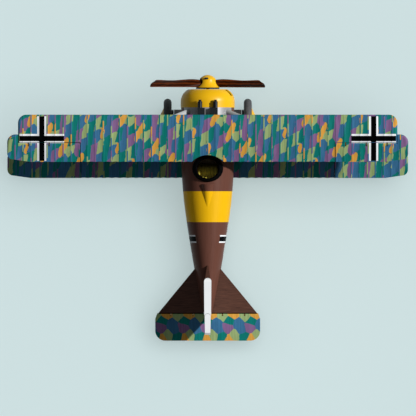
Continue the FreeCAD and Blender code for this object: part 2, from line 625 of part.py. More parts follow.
elevator_plan_port = [
    ("-tail_te", "elevator_half"),
    ("-(tail_te + elevator_run)", "elevator_wide"),
    (f"-({ELEVATOR_TE} - elevator_round)", "elevator_wide", "elevator_round", "left"),
    (f"-{ELEVATOR_TE}", "elevator_wide - elevator_round"),
]
elevator_section = [
    (f"-{TAIL_AXIS}", "-tail_thick / 2"),
    (f"-{ELEVATOR_TE}", "-elevator_te_thick / 2"),
    (f"-{ELEVATOR_TE}", "elevator_te_thick / 2"),
    (f"-{TAIL_AXIS}", "tail_thick / 2", "tail_thick / 2", "right"),
    (f"-({TAIL_AXIS} - tail_thick / 2)", "0", "tail_thick / 2", "right"),
]
elevator_blank = shared(
    "elevator_blank",
    padded("elevator_bar", elevator_section, "2 * elevator_wide", (0, 0, size.tail_up), PROFILE),
    padded("elevator_slab", elevator_plan_port + to_starboard(elevator_plan_port), "2 * tail_thick",
           (0, 0, size.tail_up)),
)
elevator_tangs, elevator_rooms = [], []
for n, share in enumerate((-0.75, -0.3, 0.3, 0.75)):
    tang, room = hinge(f"elevator_hinge{n}", (-number(TAIL_AXIS), share * size.tail_half, size.tail_up), Z_TO_PORT,
                       "control_gap + tail_thick / 2", "small_pin_r", "small_tang_high")
    elevator_tangs.append(tang)
    elevator_rooms += room
elevator = cut("elevator", elevator_blank, *elevator_rooms)
elevator_hinges = grouped("elevator_hinges", *elevator_tangs)

RUDDER_AXIS = "(tail_te + control_gap + rudder_nose)"
RUDDER_TE = "(tail_te + rudder_chord)"
FIN_FRONT = "(tail_te - fin_chord)"
FIN_REAR = f"({RUDDER_AXIS} - fin_lip)"
fin_plan = [
    (f"-{FIN_REAR}", "-fin_rear_thick / 2"),
    (f"-({FIN_FRONT} + fin_thick / 2)", "-fin_thick / 2", "fin_thick / 2", "left"),
    (f"-{FIN_FRONT}", "0", "fin_thick / 2", "left"),
    (f"-({FIN_FRONT} + fin_thick / 2)", "fin_thick / 2"),
    (f"-{FIN_REAR}", "fin_rear_thick / 2"),
]
fin_side = [
    (f"-{FIN_FRONT}", "fin_foot"),
    (f"-{FIN_FRONT}", "fin_top - fin_top_round", "fin_top_round", "left"),
    (f"-({FIN_FRONT} + fin_top_round)", "fin_top"),
    (f"-{FIN_REAR}", "fin_top"),
    (f"-{FIN_REAR}", "fin_foot"),
]
fin_column = padded("fin_column", fin_plan, "fin_top", middle=False)
fin_shape = shared("fin_shape", fin_column, padded("fin_sheet", fin_side, "2 * fin_thick", turn=PROFILE))
fin_cup = rod("fin_cup", "rudder_nose + control_gap", "fin_top", (-number(RUDDER_AXIS), 0, 0), LEVEL)
fin = cut("fin", fin_shape, fin_cup, hull)

rudder_plan = [
    (f"-{RUDDER_AXIS}", "-rudder_nose", "rudder_nose", "left"),
    (f"-({RUDDER_AXIS} - rudder_nose)", "0", "rudder_nose", "left"),
    (f"-{RUDDER_AXIS}", "rudder_nose"),
    (f"-{RUDDER_TE}", "rudder_te_thick / 2"),
    (f"-{RUDDER_TE}", "-rudder_te_thick / 2"),
]
rudder_side = [
    ("-tail_te", "rudder_foot"),
    ("-(tail_te + rudder_heel)", "rudder_foot"),
    (f"-{RUDDER_TE}", "rudder_heel_up"),
    (f"-{RUDDER_TE}", "fin_top - rudder_top_drop"),
    (f"-({RUDDER_TE} - rudder_top_drop)", "fin_top"),
    ("-tail_te", "fin_top"),
]
rudder_blank = shared("rudder_blank", padded("rudder_column", rudder_plan, "fin_top", middle=False),
                      padded("rudder_sheet", rudder_side, "2 * fin_thick", turn=PROFILE))
rudder_tangs, rudder_rooms = [], []
for n, share in enumerate((0.25, 0.75)):
    height = size.rudder_foot + (size.fin_top - size.rudder_foot) * share
    tang, room = hinge(f"rudder_hinge{n}", (-number(RUDDER_AXIS), 0, height), LEVEL,
                       "control_gap + rudder_nose", "hinge_pin_r", "tang_high")
    rudder_tangs.append(tang)
    rudder_rooms += room
rudder = cut("rudder", rudder_blank, *rudder_rooms)
rudder_hinges = cut("rudder_hinges", grouped("rudder_tangs", *rudder_tangs), fin)

FILLET_FRONT = f"({FIN_FRONT} - fillet_long)"
FILLET_REAR = f"({FIN_FRONT} + fin_thick / 2)"
fillet_plan = [
    (f"-{FILLET_REAR}", "-fillet_thick / 2"),
    (f"-{FILLET_FRONT}", "-fillet_end_thick / 2"),
    (f"-{FILLET_FRONT}", "fillet_end_thick / 2"),
    (f"-{FILLET_REAR}", "fillet_thick / 2"),
]
fillet_side = [
    (f"-{FILLET_FRONT}", "fin_foot"),
    (f"-{FILLET_FRONT}", "fillet_low"),
    (f"-{FILLET_REAR}", "fillet_high"),
    (f"-{FILLET_REAR}", "fin_foot"),
]
dorsal = shared("dorsal", padded("fillet_column", fillet_plan, "fin_top", middle=False),
                padded("fillet_sheet", fillet_side, "2 * fillet_thick", turn=PROFILE))
dorsal_fillet = cut("dorsal_fillet", dorsal, fin_shape, hull)

skid_top = (size.skid_lead - size.tail_te, 0, -size.skid_top_drop)
skid_bar = box("skid_bar", "skid_long", "skid_wide", "skid_thick", skid_top,
               Rotation(Vector(0, 1, 0), 180 - size.skid_slope))
below = doc.addObject("Part::Box", "below_ground")
bind(below, Length="2 * skid_long", Width="2 * skid_long", Height="skid_long")
below.Placement = Placement(Vector(skid_bar.Placement.Base.x - size.skid_long * 1.5, -size.skid_long,
                                   -size.skid_long), LEVEL)
tail_skid = cut("tail_skid", skid_bar, hull, below)

# Fuselage shell and what is inside it -----------------------------------------------------------------

fuselage_shell = cut("fuselage_shell", hull, hollow, well("cockpit_well", "0", "0"), lower.blank, tailplane)

formers = []
for n in range(size.former_count):
    aft = size.former_first + n * size.former_pitch
    if abs(aft - size.cockpit_aft) < size.cockpit_half_long:
        continue
    plate = shared(f"former{n}_plate", hollow, box(f"former{n}_slice", "former_thick", "2 * frame_a_wide",
                                                   "2 * frame_a_high", (-aft, 0, -size.frame_a_high)))
    hole = rod(f"former{n}_hole", frame_at(aft)[0] - size.shell_wall - size.former_rim, "3 * former_thick",
               (-aft - size.former_thick, 0, 0), Z_FORWARD)
    formers.append(cut(f"former{n}", plate, hole, lower.blank, tailplane))
fuselage_formers = grouped("fuselage_formers", *formers)

floor_at = (-size.floor_rear, 0, -size.floor_drop - size.floor_thick)
cockpit_floor = shared("cockpit_floor", hollow, box("floor_board", "floor_rear - floor_front", "2 * frame_b_wide",
                                                    "floor_thick", floor_at))
panel_back = -size.panel_aft - size.panel_thick
instrument_panel = shared("instrument_panel", hollow, box("panel_board", "panel_thick", "2 * frame_b_wide",
                                                          "frame_b_high", (panel_back, 0, size.panel_low)))
dials = [rod(f"gauge{n}", "gauge_r", "gauge_thick", (panel_back, n * size.gauge_pitch, size.gauge_up), FRAME)
         for n in (-1, 0, 1)]
gauges = grouped("gauges", *dials)

seat_pan = padded("seat_pan", [
    ("-seat_front", "-floor_drop"),
    ("-seat_front", "seat_up"),
    ("-seat_rear", "seat_up"),
    ("-(seat_rear + seat_lean)", "seat_back_up"),
    ("-(seat_rear + seat_lean + seat_ply)", "seat_back_up"),
    ("-(seat_rear + seat_ply)", "seat_up"),
    ("-(seat_rear + seat_ply)", "-floor_drop"),
    ("-seat_rear", "-floor_drop"),
    ("-seat_rear", "seat_up - seat_ply"),
    ("-(seat_front + seat_ply)", "seat_up - seat_ply"),
    ("-(seat_front + seat_ply)", "-floor_drop"),
], "seat_wide", turn=PROFILE)
cushion_top = "cushion_thick + seat_up"
seat_cushion = padded("seat_cushion", [
    ("-seat_front", "seat_up"),
    ("-seat_front", f"{cushion_top} - cushion_round", "cushion_round", "left"),
    ("-(seat_front + cushion_round)", cushion_top),
    ("-seat_rear", cushion_top),
    ("-seat_rear", "seat_up"),
], "seat_wide - seat_ply", turn=PROFILE)
LEAN = "seat_lean / (seat_back_up - seat_up)"
pad_low = f"({cushion_top} + control_gap)"
pad_foot = f"(seat_rear + {LEAN} * ({pad_low} - seat_up))"
pad_head = f"(seat_rear + {LEAN} * (seat_back_up - cushion_round - seat_up))"
seat_back_pad = padded("seat_back_pad", [
    (f"-{pad_foot}", pad_low),
    (f"-{pad_foot} + cushion_thick", pad_low),
    (f"-{pad_head} + cushion_thick", "seat_back_up - cushion_round"),
    (f"-{pad_head}", "seat_back_up - cushion_round"),
], "seat_wide - seat_ply", turn=PROFILE)

lid = rod("coaming_lid", "frame_b_high + coaming_rise", "4 * cockpit_half_long",
          (-size.cockpit_aft - 2 * size.cockpit_half_long, 0, 0), Z_FORWARD)
coaming = cut("cockpit_coaming", shared("coaming_roll", lid, well("coaming_well", "coaming_end", "coaming_side")),
              well("coaming_mouth", "0", "0"), hull)
fall = math.degrees(math.atan2(top_at(size.headrest_aft) - top_at(size.headrest_aft + size.headrest_long),
                               size.headrest_long))
headrest = cut("headrest_fairing", cone("headrest_cone", "headrest_r", "headrest_end_r", "headrest_long",
                                        (-size.headrest_aft, 0, top_at(size.headrest_aft) - size.headrest_sink),
                                        Rotation(Vector(0, 1, 0), -90 - fall)), hull)

# Nose: half profiles along the thrust line ------------------------------------------------------------

COWL_ROUND = "(((cowl_lip - cowl_side)^2 + (cowl_r - cowl_face_r)^2) / (2 * (cowl_r - cowl_face_r)))"
face_back = "(cowl_lip - cowl_wall)"
inner_face_r = f"cowl_r - {COWL_ROUND} + sqrt(({COWL_ROUND} - cowl_wall)^2 - ({face_back} - cowl_side)^2)"
cowl_ring = spun("cowl_ring", [
    ("0", "cowl_r"),
    ("cowl_side", "cowl_r", COWL_ROUND, "right"),
    ("cowl_lip", "cowl_face_r"),
    ("cowl_lip", "cowl_mouth_r"),
    (face_back, "cowl_mouth_r"),
    (face_back, inner_face_r, f"{COWL_ROUND} - cowl_wall", "left"),
    ("cowl_side", "cowl_r - cowl_wall"),
    ("0", "cowl_r - cowl_wall"),
])
window = box("cowl_window", "window_front - window_back", "cowl_r - window_inner", "window_high - window_low",
             (size.window_back, -(size.cowl_r + size.window_inner) / 2, size.window_low))
cowling = cut("cowling", cowl_ring, window)

firewall = spun("firewall", [
    ("0", "bush_r"),
    ("0", "cowl_r - cowl_wall - firewall_gap"),
    ("firewall_thick", "cowl_r - cowl_wall - firewall_gap"),
    ("firewall_thick", "bush_r"),
])
shaft_bore = "shaft_r + running_gap"
shaft_bush = spun("shaft_bush", [
    ("-bush_back", shaft_bore),
    ("-bush_back", "bush_r"),
    ("firewall_thick", "bush_r"),
    ("firewall_thick", "bush_flange_r"),
    ("firewall_thick + bush_flange", "bush_flange_r"),
    ("firewall_thick + bush_flange", shaft_bore),
])
top_deck = spun("top_deck", [
    ("-deck_long", "frame_a_high + deck_gap"),
    ("-deck_long", "frame_a_high + deck_gap + deck_thick"),
    ("0", "frame_a_high + deck_gap + deck_thick"),
    ("0", "frame_a_high + deck_gap"),
], turn=PROFILE, angle="2 * deck_spread")

# What turns with the propeller ------------------------------------------------------------------------

propeller_shaft = spun("propeller_shaft", [
    ("-(bush_back + shaft_play + shaft_head)", "0"),
    ("-(bush_back + shaft_play + shaft_head)", "shaft_head_r"),
    ("-(bush_back + shaft_play)", "shaft_head_r"),
    ("-(bush_back + shaft_play)", "shaft_r"),
    ("shaft_front", "shaft_r"),
    ("shaft_front", "0"),
])


def on_shaft(label, shape):
    """A piece threaded on the propeller shaft."""
    return cut(label, shape, propeller_shaft)


case = bind(doc.addObject("Part::Prism", "crank_block"), Polygon="crank_sides", Circumradius="crank_r",
            Height="crank_front - crank_back")
engine_crankcase = on_shaft("engine_crankcase", put(case, (size.crank_back, 0, 0), Z_FORWARD))
flat = "crank_r * cos(180 / crank_sides)"
fin_step = f"((cylinder_top - {flat}) / (2 * fin_count + 1))"
barrel = [(flat, "0"), (flat, "cylinder_r")]
for n in range(size.fin_count):
    low, high = (f"{flat} + {fin_step} * {2 * n + edge}" for edge in (1, 2))
    barrel += [(low, "cylinder_r"), (low, "fin_r"), (high, "fin_r"), (high, "cylinder_r")]
barrel += [("cylinder_top", "cylinder_r"), ("cylinder_top", "0")]
cylinders = []
for n in range(size.crank_sides):
    around = Rotation(Vector(1, 0, 0), (n + 0.5) * 360 / size.crank_sides)
    cylinders.append(spun(f"cylinder{n}", barrel, (size.cylinder_axis, 0, 0), around.multiply(Z_FORWARD)))
engine_cylinders = grouped("engine_cylinders", *cylinders)

backplate_disc = rod("backplate_disc", "spinner_base_r", "spinner_base - plate_back", (size.plate_back, 0, 0),
                     Z_FORWARD)
spinner_backplate = on_shaft("spinner_backplate", backplate_disc)
DOME = "((spinner_dome_r^2 + (spinner_tip - spinner_dome)^2) / (2 * (spinner_tip - spinner_dome)))"
inner_dome_r = f"sqrt(({DOME} - spinner_wall)^2 - (spinner_dome - spinner_tip + {DOME})^2)"
spinner_shell = spun("spinner_shell", [
    ("spinner_base", "spinner_base_r", "spinner_flare", "left"),
    ("spinner_dome", "spinner_dome_r", DOME, "right"),
    ("spinner_tip", "0"),
    ("spinner_tip - spinner_wall", "0", f"{DOME} - spinner_wall", "left"),
    ("spinner_dome", inner_dome_r, "spinner_flare + spinner_wall", "right"),
    ("spinner_base", "spinner_base_r - spinner_wall"),
])
across = Rotation(Vector(1, 0, 0), size.prop_angle).multiply(Z_TO_PORT)
room = rod("blade_rooms", "blade_room", "4 * spinner_base_r",
           Vector(size.blade_axis, 0, 0) - across.multVec(Vector(0, 0, 2 * size.spinner_base_r)), across)
spinner = cut("spinner", spinner_shell, room)


def blade(n):
    """One blade, lofted out from the boss through twisted sections that share a straight rear edge."""
    around = Rotation(Vector(1, 0, 0), size.prop_angle + 180 * n)
    sections = []
    for station in ("root", "neck", "middle", "broad", "brim", "tip"):
        section = doc.addObject("Part::Ellipse", f"blade{n}_{station}")
        bind(section, MajorRadius=f"blade_{station}_chord / 2", MinorRadius=f"blade_{station}_thick / 2")
        pitch = math.radians(number(f"blade_{station}_pitch"))
        twist = Rotation(Vector(math.sin(pitch), 0, -math.cos(pitch)), Vector(), Vector(0, 1, 0), "ZXY")
        chord, thick, out = (number(f"blade_{station}_{part}") for part in ("chord", "thick", "out"))
        depth = math.hypot(chord * math.sin(pitch), thick * math.cos(pitch))
        place = Vector(size.blade_rear + depth / 2, 0, 0) + around.multVec(Vector(0, out, 0))
        sections.append(put(section, place, around.multiply(twist)))
    loft = doc.addObject("Part::Loft", f"blade{n}")
    loft.Sections, loft.Solid = sections, True
    return loft


boss = rod("propeller_boss", "boss_r", "boss_front - spinner_base", (size.spinner_base, 0, 0), Z_FORWARD)
propeller = on_shaft("propeller", joined("propeller_wood", boss, blade(0), blade(1)))
nut_block = bind(doc.addObject("Part::Prism", "nut_block"), Circumradius="nut_r", Height="nut_thick")
propeller_nut = on_shaft("propeller_nut", put(nut_block, (size.boss_front, 0, 0), Z_FORWARD))

# Guns -------------------------------------------------------------------------------------------------

jacket = spun("gun_jacket", [
    ("-receiver_front", "0"),
    ("-receiver_front", "jacket_r"),
    ("jacket_front", "jacket_r"),
    ("muzzle_front", "muzzle_r"),
    ("muzzle_front", "0"),
], (0, size.gun_out, size.gun_up))
gun_jackets = pair("gun_jackets", jacket)
receiver = padded("gun_receiver", [
    ("-receiver_back", "receiver_low"),
    ("-receiver_front", "receiver_low"),
    ("-receiver_front", "receiver_top"),
    ("-(receiver_back - grip_step)", "receiver_top"),
    ("-receiver_back", "receiver_top - grip_drop"),
], "receiver_wide", (0, size.receiver_out, 0), PROFILE)
gun_receivers = pair("gun_receivers", cut("gun_receiver_saddled", receiver, hull, deck_top))

# Every sub-part, checked and written ------------------------------------------------------------------

PARTS = {
    "fuselage_shell": fuselage_shell, "fuselage_formers": fuselage_formers, "firewall": firewall,
    "shaft_bush": shaft_bush, "top_deck": top_deck, "cowling": cowling,
    "cockpit_floor": cockpit_floor, "instrument_panel": instrument_panel, "gauges": gauges,
    "seat_pan": seat_pan, "seat_cushion": seat_cushion, "seat_back_pad": seat_back_pad,
    "cockpit_coaming": coaming, "headrest_fairing": headrest,
    "gun_receivers": gun_receivers, "gun_jackets": gun_jackets,
    "upper_wing": upper.covering, "upper_wing_spars": upper.spars, "upper_wing_ribs": upper.ribs,
    "lower_wing": lower.covering, "lower_wing_spars": lower.spars, "lower_wing_ribs": lower.ribs,
    "upper_left_aileron": upper.aileron, "lower_left_aileron": lower.aileron,
    "upper_right_aileron": mirrored("upper_right_aileron", upper.aileron),
    "lower_right_aileron": mirrored("lower_right_aileron", lower.aileron),
    "cabane_struts": cabane_struts, "interplane_struts": interplane_struts,
    "interplane_diagonals": interplane_diagonals, "undercarriage_legs": undercarriage_legs,
    "axle": axle, "axle_fairing": axle_fairing, "axle_collars": axle_collars,
    "tailplane": tailplane, "elevator": elevator, "elevator_hinges": elevator_hinges,
    "fin": fin, "dorsal_fillet": dorsal_fillet, "rudder": rudder, "rudder_hinges": rudder_hinges,
    "tail_skid": tail_skid,
    "propeller_shaft": propeller_shaft, "engine_crankcase": engine_crankcase,
    "engine_cylinders": engine_cylinders, "spinner_backplate": spinner_backplate, "spinner": spinner,
    "propeller": propeller, "propeller_nut": propeller_nut,
}
for wing, name in ((upper, "upper"), (lower, "lower")):
    port = grouped(f"{name}_port_hinges", *wing.tangs)
    PARTS[f"{name}_aileron_hinges"] = grouped(f"{name}_aileron_hinges", port,
                                              mirrored(f"{name}_starboard_hinges", port))
for piece in wheels:
    PARTS[piece.Name] = piece

doc.recompute()
for thing in doc.Objects:
    if {"Invalid", "Error"} & set(thing.State):
        raise RuntimeError(f"{thing.Name}: {thing.State}")
os.makedirs("parts", exist_ok=True)
for name, thing in PARTS.items():
    thing.Label = name
    if thing.Shape.isNull() or not thing.Shape.isValid() or not thing.Shape.Solids:
        raise RuntimeError(f"{name} has no sound shape")
    thing.Shape.exportStep(f"parts/{name}.step")
    print(f"{name}: {len(thing.Shape.Solids)} solids, {thing.Shape.Volume:.1f} mm3")
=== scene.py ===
"""The looks of the standing biplane: covers, paint, wood, leather, guns, floor, lights and camera.

Shapes are drawn in level flight, in millimetres: X forward along the thrust line, Y to port, Z up, with the
datum on the thrust line at the firewall. DATUM sets them down in the row's frame, in metres.
"""

import json
import math

import bmesh
import bpy
from mathutils import Matrix, Vector


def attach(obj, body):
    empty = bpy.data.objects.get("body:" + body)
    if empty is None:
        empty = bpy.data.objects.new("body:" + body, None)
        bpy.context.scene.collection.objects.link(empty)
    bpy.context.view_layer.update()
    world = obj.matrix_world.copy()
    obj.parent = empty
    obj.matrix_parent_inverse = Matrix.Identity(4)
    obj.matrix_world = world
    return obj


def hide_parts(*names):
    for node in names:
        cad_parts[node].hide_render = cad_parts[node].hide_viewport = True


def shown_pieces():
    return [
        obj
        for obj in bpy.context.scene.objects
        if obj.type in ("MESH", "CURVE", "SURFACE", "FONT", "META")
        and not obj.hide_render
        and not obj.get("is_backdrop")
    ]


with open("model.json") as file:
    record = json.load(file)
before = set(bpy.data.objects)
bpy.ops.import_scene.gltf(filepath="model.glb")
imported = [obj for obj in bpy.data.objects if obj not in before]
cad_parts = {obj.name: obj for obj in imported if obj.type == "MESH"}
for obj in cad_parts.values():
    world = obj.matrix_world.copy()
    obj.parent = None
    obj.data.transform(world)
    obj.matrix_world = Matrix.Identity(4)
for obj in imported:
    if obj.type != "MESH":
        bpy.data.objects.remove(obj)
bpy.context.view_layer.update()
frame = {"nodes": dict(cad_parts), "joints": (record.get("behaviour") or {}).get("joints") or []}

NODES = frame["nodes"]

# The datum: the propeller's joint gives its origin and the way forward.
MM = 0.001
SPIN = next(joint for joint in frame["joints"] if joint["name"] == "propeller_spin")
FORWARD = Vector(SPIN["axis"]).normalized()
PORT = Vector((0, 1, 0))
UP = FORWARD.cross(PORT)
TURN = Matrix((FORWARD, PORT, UP)).transposed()
DATUM = Matrix.Translation(SPIN["pos_m"]) @ TURN.to_4x4() @ Matrix.Scale(MM, 4)
TO_DATUM = DATUM.inverted()
SIDES = ((1, "left"), (-1, "right"))

# Wing section: distances aft of the leading edge, and heights above the flat underside
CHORD, THICK, EDGE_THICK = 47.0, 5.32, 0.7
CREST, NOSE_HIGH, NOSE_LONG = 15.5, 3.0, 2.6

# Wing plan, out from the middle: the tips' round corners, and the upper wing's notch over the cockpit
UPPER_HALF, LOWER_HALF, TIP_ROUND = 189.0, 190.0, 8.3
TIP_SHARES = (0.75, 0.5, 0.35, 0.22, 0.12, 0.06, 0.02)
NOTCH_HALF, NOTCH_DEEP, NOTCH_SHARES = 15.8, 6.8, (0.4, 0.75, 0.93, 1.0)

# Ailerons: their bay and its clearance, and the round nose on the hinge line
AILERON_IN, BAY, SEAM = 127.0, 27.5, 0.03
HINGE_AFT, NOSE_R = 30.13, 2.28

# Their horn, which stands out past the panel's tip, and from there aft the tip's side, corner and rake
HORN_OUT, HORN_FRONT, HORN_ROUND = 10.8, 19.7, 8.0
HORN_SHARES = (1.0, 0.8, 0.6, 0.45, 0.3, 0.2, 0.12, 0.06, 0.02, 0.005)
TIP_SIDE, TIP_CORNER, TIP_IN, TIP_SLANT, TIP_MID = 38.5, 44.5, 5.6, 22.8, 0.75

# A free edge thins over its last millimetres, and where an edge steps, it does so over twice STEP.
PANEL_THIN, AILERON_THIN, THIN_LEAST, STEP = 2.2, 3.5, 0.02, 0.01

# Hinge slots in an aileron's nose, and the cloth that closes them from below, black as painted shade in the
# slots
HINGES, SLOT_HALF, SLOT_PAST, SLOT_NOSE = 3, 0.7, 1.2, 0.3
POCKET_LONG, POCKET_WIDE, POCKET_THICK, POCKET_UP = 1.2, 1.4, 0.15, 0.25

# Cloth over the ribs: it sags between them and bows the trailing edge in, and tapes run over them
RIB_PITCH, TAPE_HALF, TAPE_EDGE, TAPE_PROUD = 8.0, 0.62, 0.1, 0.08
RIB_STEPS = (-0.5, -0.36, -0.22, -0.12, -0.085, 0.0, 0.085, 0.12, 0.22, 0.36)
SAG, UNDER_SAG, SAG_AFT, SAG_RISE, SAG_FALL = 0.28, 0.6, 2.1, 7.0, 4.0
SCALLOP = 0.35
TOP_POINTS, UNDER_POINTS, POINTS_CROWD = 26, 16, 1.6

# Elevator: the strip over its gap, black as painted shade in the gap, and its hinge slots, by their share of
# the tailplane's half span
STRIP_PAST, STRIP_THICK, STRIP_IN, STRIP_BEVEL = 0.9, 0.15, 4.0, 0.02
TANGS, TANG_AFT = (-0.75, -0.3, 0.3, 0.75), 2.6

# Propeller tips: how far in the rake starts, how far it draws the front corner in and the rear corner out,
# and how deep the tip is along X
RAKE_LONG, RAKE, RAKE_REAR, TIP_DEEP = 12.0, 6.0, 0.9, 6.5

# A dark block sunk in the spinner's top, painted shade for an opening there: its place along X and Y, and how
# deep it is sunk
HOLE_SHADE_X, HOLE_SHADE_Y, HOLE_SHADE_SINK, HOLE_SHADE_SIZES, HOLE_SHADE_BEVEL = 29.0, 1.3, 0.4, (2.0, 4.0, 2.4), 0.9

# Cockpit coaming: a roll seated on the round deck
COAMING_TURNS, COAMING_POINTS, COAMING_LACES, COAMING_PUCKER = 96, 16, 24, 0.06
COAMING_SIDE, COAMING_END, COAMING_HIGH, COAMING_SEAT, DECK_R = 4.9, 3.9, 1.7, 0.3, 26.4

# Seat pads: sewn channels, and shares of the pad's thickness
PAD_ACROSS, PAD_ALONG, CHANNELS, CHANNEL_DEEP = 46, 22, 6, 0.34
PAD_EDGE, PAD_UNDER, SEAT_LEAN = 0.25, 0.12, 1 / 6

# Gun jackets: rings of faces, solid at both ends. Of every four rings, three are slotted at two of every six
# faces.
JACKET_RINGS, JACKET_TURNS, JACKET_WALL, JACKET_BACK, JACKET_IN = 37, 36, 0.3, 2.2, 0.1
SOLID_RINGS, EVERY_RINGS, OPEN_RINGS, EVERY_TURNS, OPEN_TURNS = 2, 4, (1, 2, 3), 6, (1, 2)

# Gun barrels: the cap that ends the jacket, and the flared muzzle, as distances behind the muzzle with radii
BARREL_R, BARREL_TURNS, CAP = 0.9, 32, (2.4, 1.9)
FLARE, BORE = ((1.3, 1.25), (0.5, 1.5), (0.0, 1.5)), ((0.0, 0.8), (2.0, 0.7))
SIGHT_BACK, SIGHT_SIZES, SIGHT_BEVEL = 2.9, (0.9, 0.4, 1.2), 0.12

# Making pieces ----------------------------------------------------------------------------------------


def finished(mesh, body, paint, smooth_angle=40):
    """Sets a mesh drawn in datum millimetres down on a body, with its paint, as a piece of the same name."""
    mesh.transform(DATUM)
    piece = bpy.data.objects.new(mesh.name, mesh)
    bpy.context.scene.collection.objects.link(piece)
    shade(piece, smooth_angle)
    mesh.materials.append(paint)
    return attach(piece, body)


def shade(piece, angle):
    """Smooth shading, with creases where faces meet at more than the angle, in degrees."""
    for face in piece.data.polygons:
        face.use_smooth = True
    bm = bmesh.new()
    bm.from_mesh(piece.data)
    for edge in bm.edges:
        edge.smooth = len(edge.link_faces) == 2 and edge.calc_face_angle() < math.radians(angle)
    bm.to_mesh(piece.data)
    bm.free()


def mesh_of(name, bm):
    """A new mesh from a bmesh, which is freed."""
    mesh = bpy.data.meshes.new(name)
    bm.to_mesh(mesh)
    bm.free()
    return mesh


def skinned(name, rings, closed_ends=True):
    """A mesh through closed rings of as many points each."""
    bm = bmesh.new()
    rows = [[bm.verts.new(point) for point in ring] for ring in rings]
    count = len(rows[0])
    for here, there in zip(rows, rows[1:]):
        for n in range(count):
            after = (n + 1) % count
            bm.faces.new((here[n], here[after], there[after], there[n]))
    if closed_ends:
        bm.faces.new(reversed(rows[0]))
        bm.faces.new(rows[-1])
    bmesh.ops.recalc_face_normals(bm, faces=bm.faces)
    return mesh_of(name, bm)


def lathed(name, profile, turns, centre):
    """A closed profile of (along, radius) points turned about an axis parallel to X."""
    rings = []
    for n in range(turns):
        angle = 2 * math.pi * n / turns
        rings.append([centre + Vector((x, r * math.cos(angle), r * math.sin(angle))) for x, r in profile])
    return skinned(name, rings + rings[:1], closed_ends=False)


def block(name, centre, sizes, bevel):
    """A block with rounded edges."""
    bm = bmesh.new()
    bmesh.ops.create_cube(bm, size=1.0)
    bmesh.ops.scale(bm, verts=bm.verts, vec=sizes)
    bmesh.ops.bevel(bm, geom=bm.edges[:], offset=bevel, segments=3, profile=0.5, affect="EDGES")
    bmesh.ops.translate(bm, verts=bm.verts, vec=centre)
    return mesh_of(name, bm)


def extent(node):
    """Lowest and highest corner of a CAD node, in datum millimetres."""
    points = [TO_DATUM @ vertex.co for vertex in NODES[node].data.vertices]
    return [Vector(pick(point[n] for point in points) for n in range(3)) for pick in (min, max)]


# Paint: one material each, built from nodes -----------------------------------------------------------


class Paint:
    """A material and short ways to wire its nodes. Coordinates are datum millimetres at rest."""

    def __init__(self, name, **sockets):
        self.material = bpy.data.materials.new(name)
        self.material.use_nodes = True
        self.tree = self.material.node_tree
        self.shader = self.tree.nodes["Principled BSDF"]
        for socket, value in sockets.items():
            self.shader.inputs[socket.replace("_", " ")].default_value = value
        self.datum = None

    def node(self, kind, inputs=(), **settings):
        """A node with its settings and inputs, the inputs by order or by name."""
        made = self.tree.nodes.new(kind)
        for key, value in settings.items():
            setattr(made, key, value)
        pairs = inputs.items() if isinstance(inputs, dict) else enumerate(inputs)
        for key, value in pairs:
            self.feed(made.inputs[key], value)
        return made

    def feed(self, socket, value):
        """Links an output or sets a number."""
        if isinstance(value, bpy.types.NodeSocket):
            self.tree.links.new(value, socket)
        else:
            socket.default_value = value

    def calc(self, operation, *values):
        return self.node("ShaderNodeMath", values, operation=operation).outputs[0]

    def calc_vector(self, operation, *vectors):
        return self.node("ShaderNodeVectorMath", vectors, operation=operation).outputs[0]

    def place(self):
        """Where the shaded point is, as a vector in datum millimetres."""
        if self.datum is None:
            self.datum = self.node("ShaderNodeMapping", {
                "Vector": self.node("ShaderNodeTexCoord").outputs["Object"],
                "Location": TO_DATUM.to_translation(),
                "Rotation": TO_DATUM.to_euler(),
                "Scale": TO_DATUM.to_scale(),
            }).outputs[0]
        return self.datum

    def axes(self, vector=None):
        return self.node("ShaderNodeSeparateXYZ", [vector or self.place()]).outputs

    def stretched(self, x, y, z):
        """The place stretched along the axes, for grain and brush marks."""
        return self.calc_vector("MULTIPLY", self.place(), (x, y, z))

    def noise(self, scale, vector=None, detail=3.0, rough=0.55):
        return self.node("ShaderNodeTexNoise", {
            "Vector": vector or self.place(), "Scale": scale, "Detail": detail, "Roughness": rough,
        }).outputs["Fac"]

    def spread(self, value, low, high, start=0.0, end=1.0):
        """A value's range moved to another, clamped."""
        return self.node("ShaderNodeMapRange", [value, start, end, low, high]).outputs[0]

    def varied(self, noise, low, high, reach=0.2):
        """Noise spread from low to high. It mostly keeps within reach of its middle, a half."""
        return self.spread(noise, low, high, 0.5 - reach, 0.5 + reach)

    def within(self, value, half):
        """1 where a value is less than half away from 0."""
        return self.calc("LESS_THAN", self.calc("ABSOLUTE", value), half)

    def mix(self, factor, one, other, blend="MIX"):
        made = self.node("ShaderNodeMix", data_type="RGBA", blend_type=blend)
        for socket, value in ((made.inputs[0], factor), (made.inputs[6], one), (made.inputs[7], other)):
            if isinstance(value, tuple):
                value = (*value, 1.0)
            self.feed(socket, value)
        return made.outputs[2]

    def between(self, noise, one, other, reach=0.2):
        """Two colours mixed by noise."""
        return self.mix(self.varied(noise, 0.0, 1.0, reach), one, other)

    def mottled(self, colour, noise, low, high):
        """A colour between two shares of itself, by noise."""
        return self.mix(1.0, colour, self.varied(noise, low, high), blend="MULTIPLY")

    def colour(self, value):
        self.feed(self.shader.inputs["Base Color"], value)

    def rough(self, value):
        self.feed(self.shader.inputs["Roughness"], value)

    def specular(self, level, share):
        """A plain level times a share that varies. An exported model keeps the level."""
        self.feed(self.shader.inputs["Specular IOR Level"], self.calc("MULTIPLY", share, level))

    def bump(self, height, depth):
        """Relief from a height of 0 to 1, its depth in millimetres."""
        made = self.node("ShaderNodeBump", {"Height": height, "Distance": depth * MM, "Strength": 1.0})
        self.feed(self.shader.inputs["Normal"], made.outputs[0])


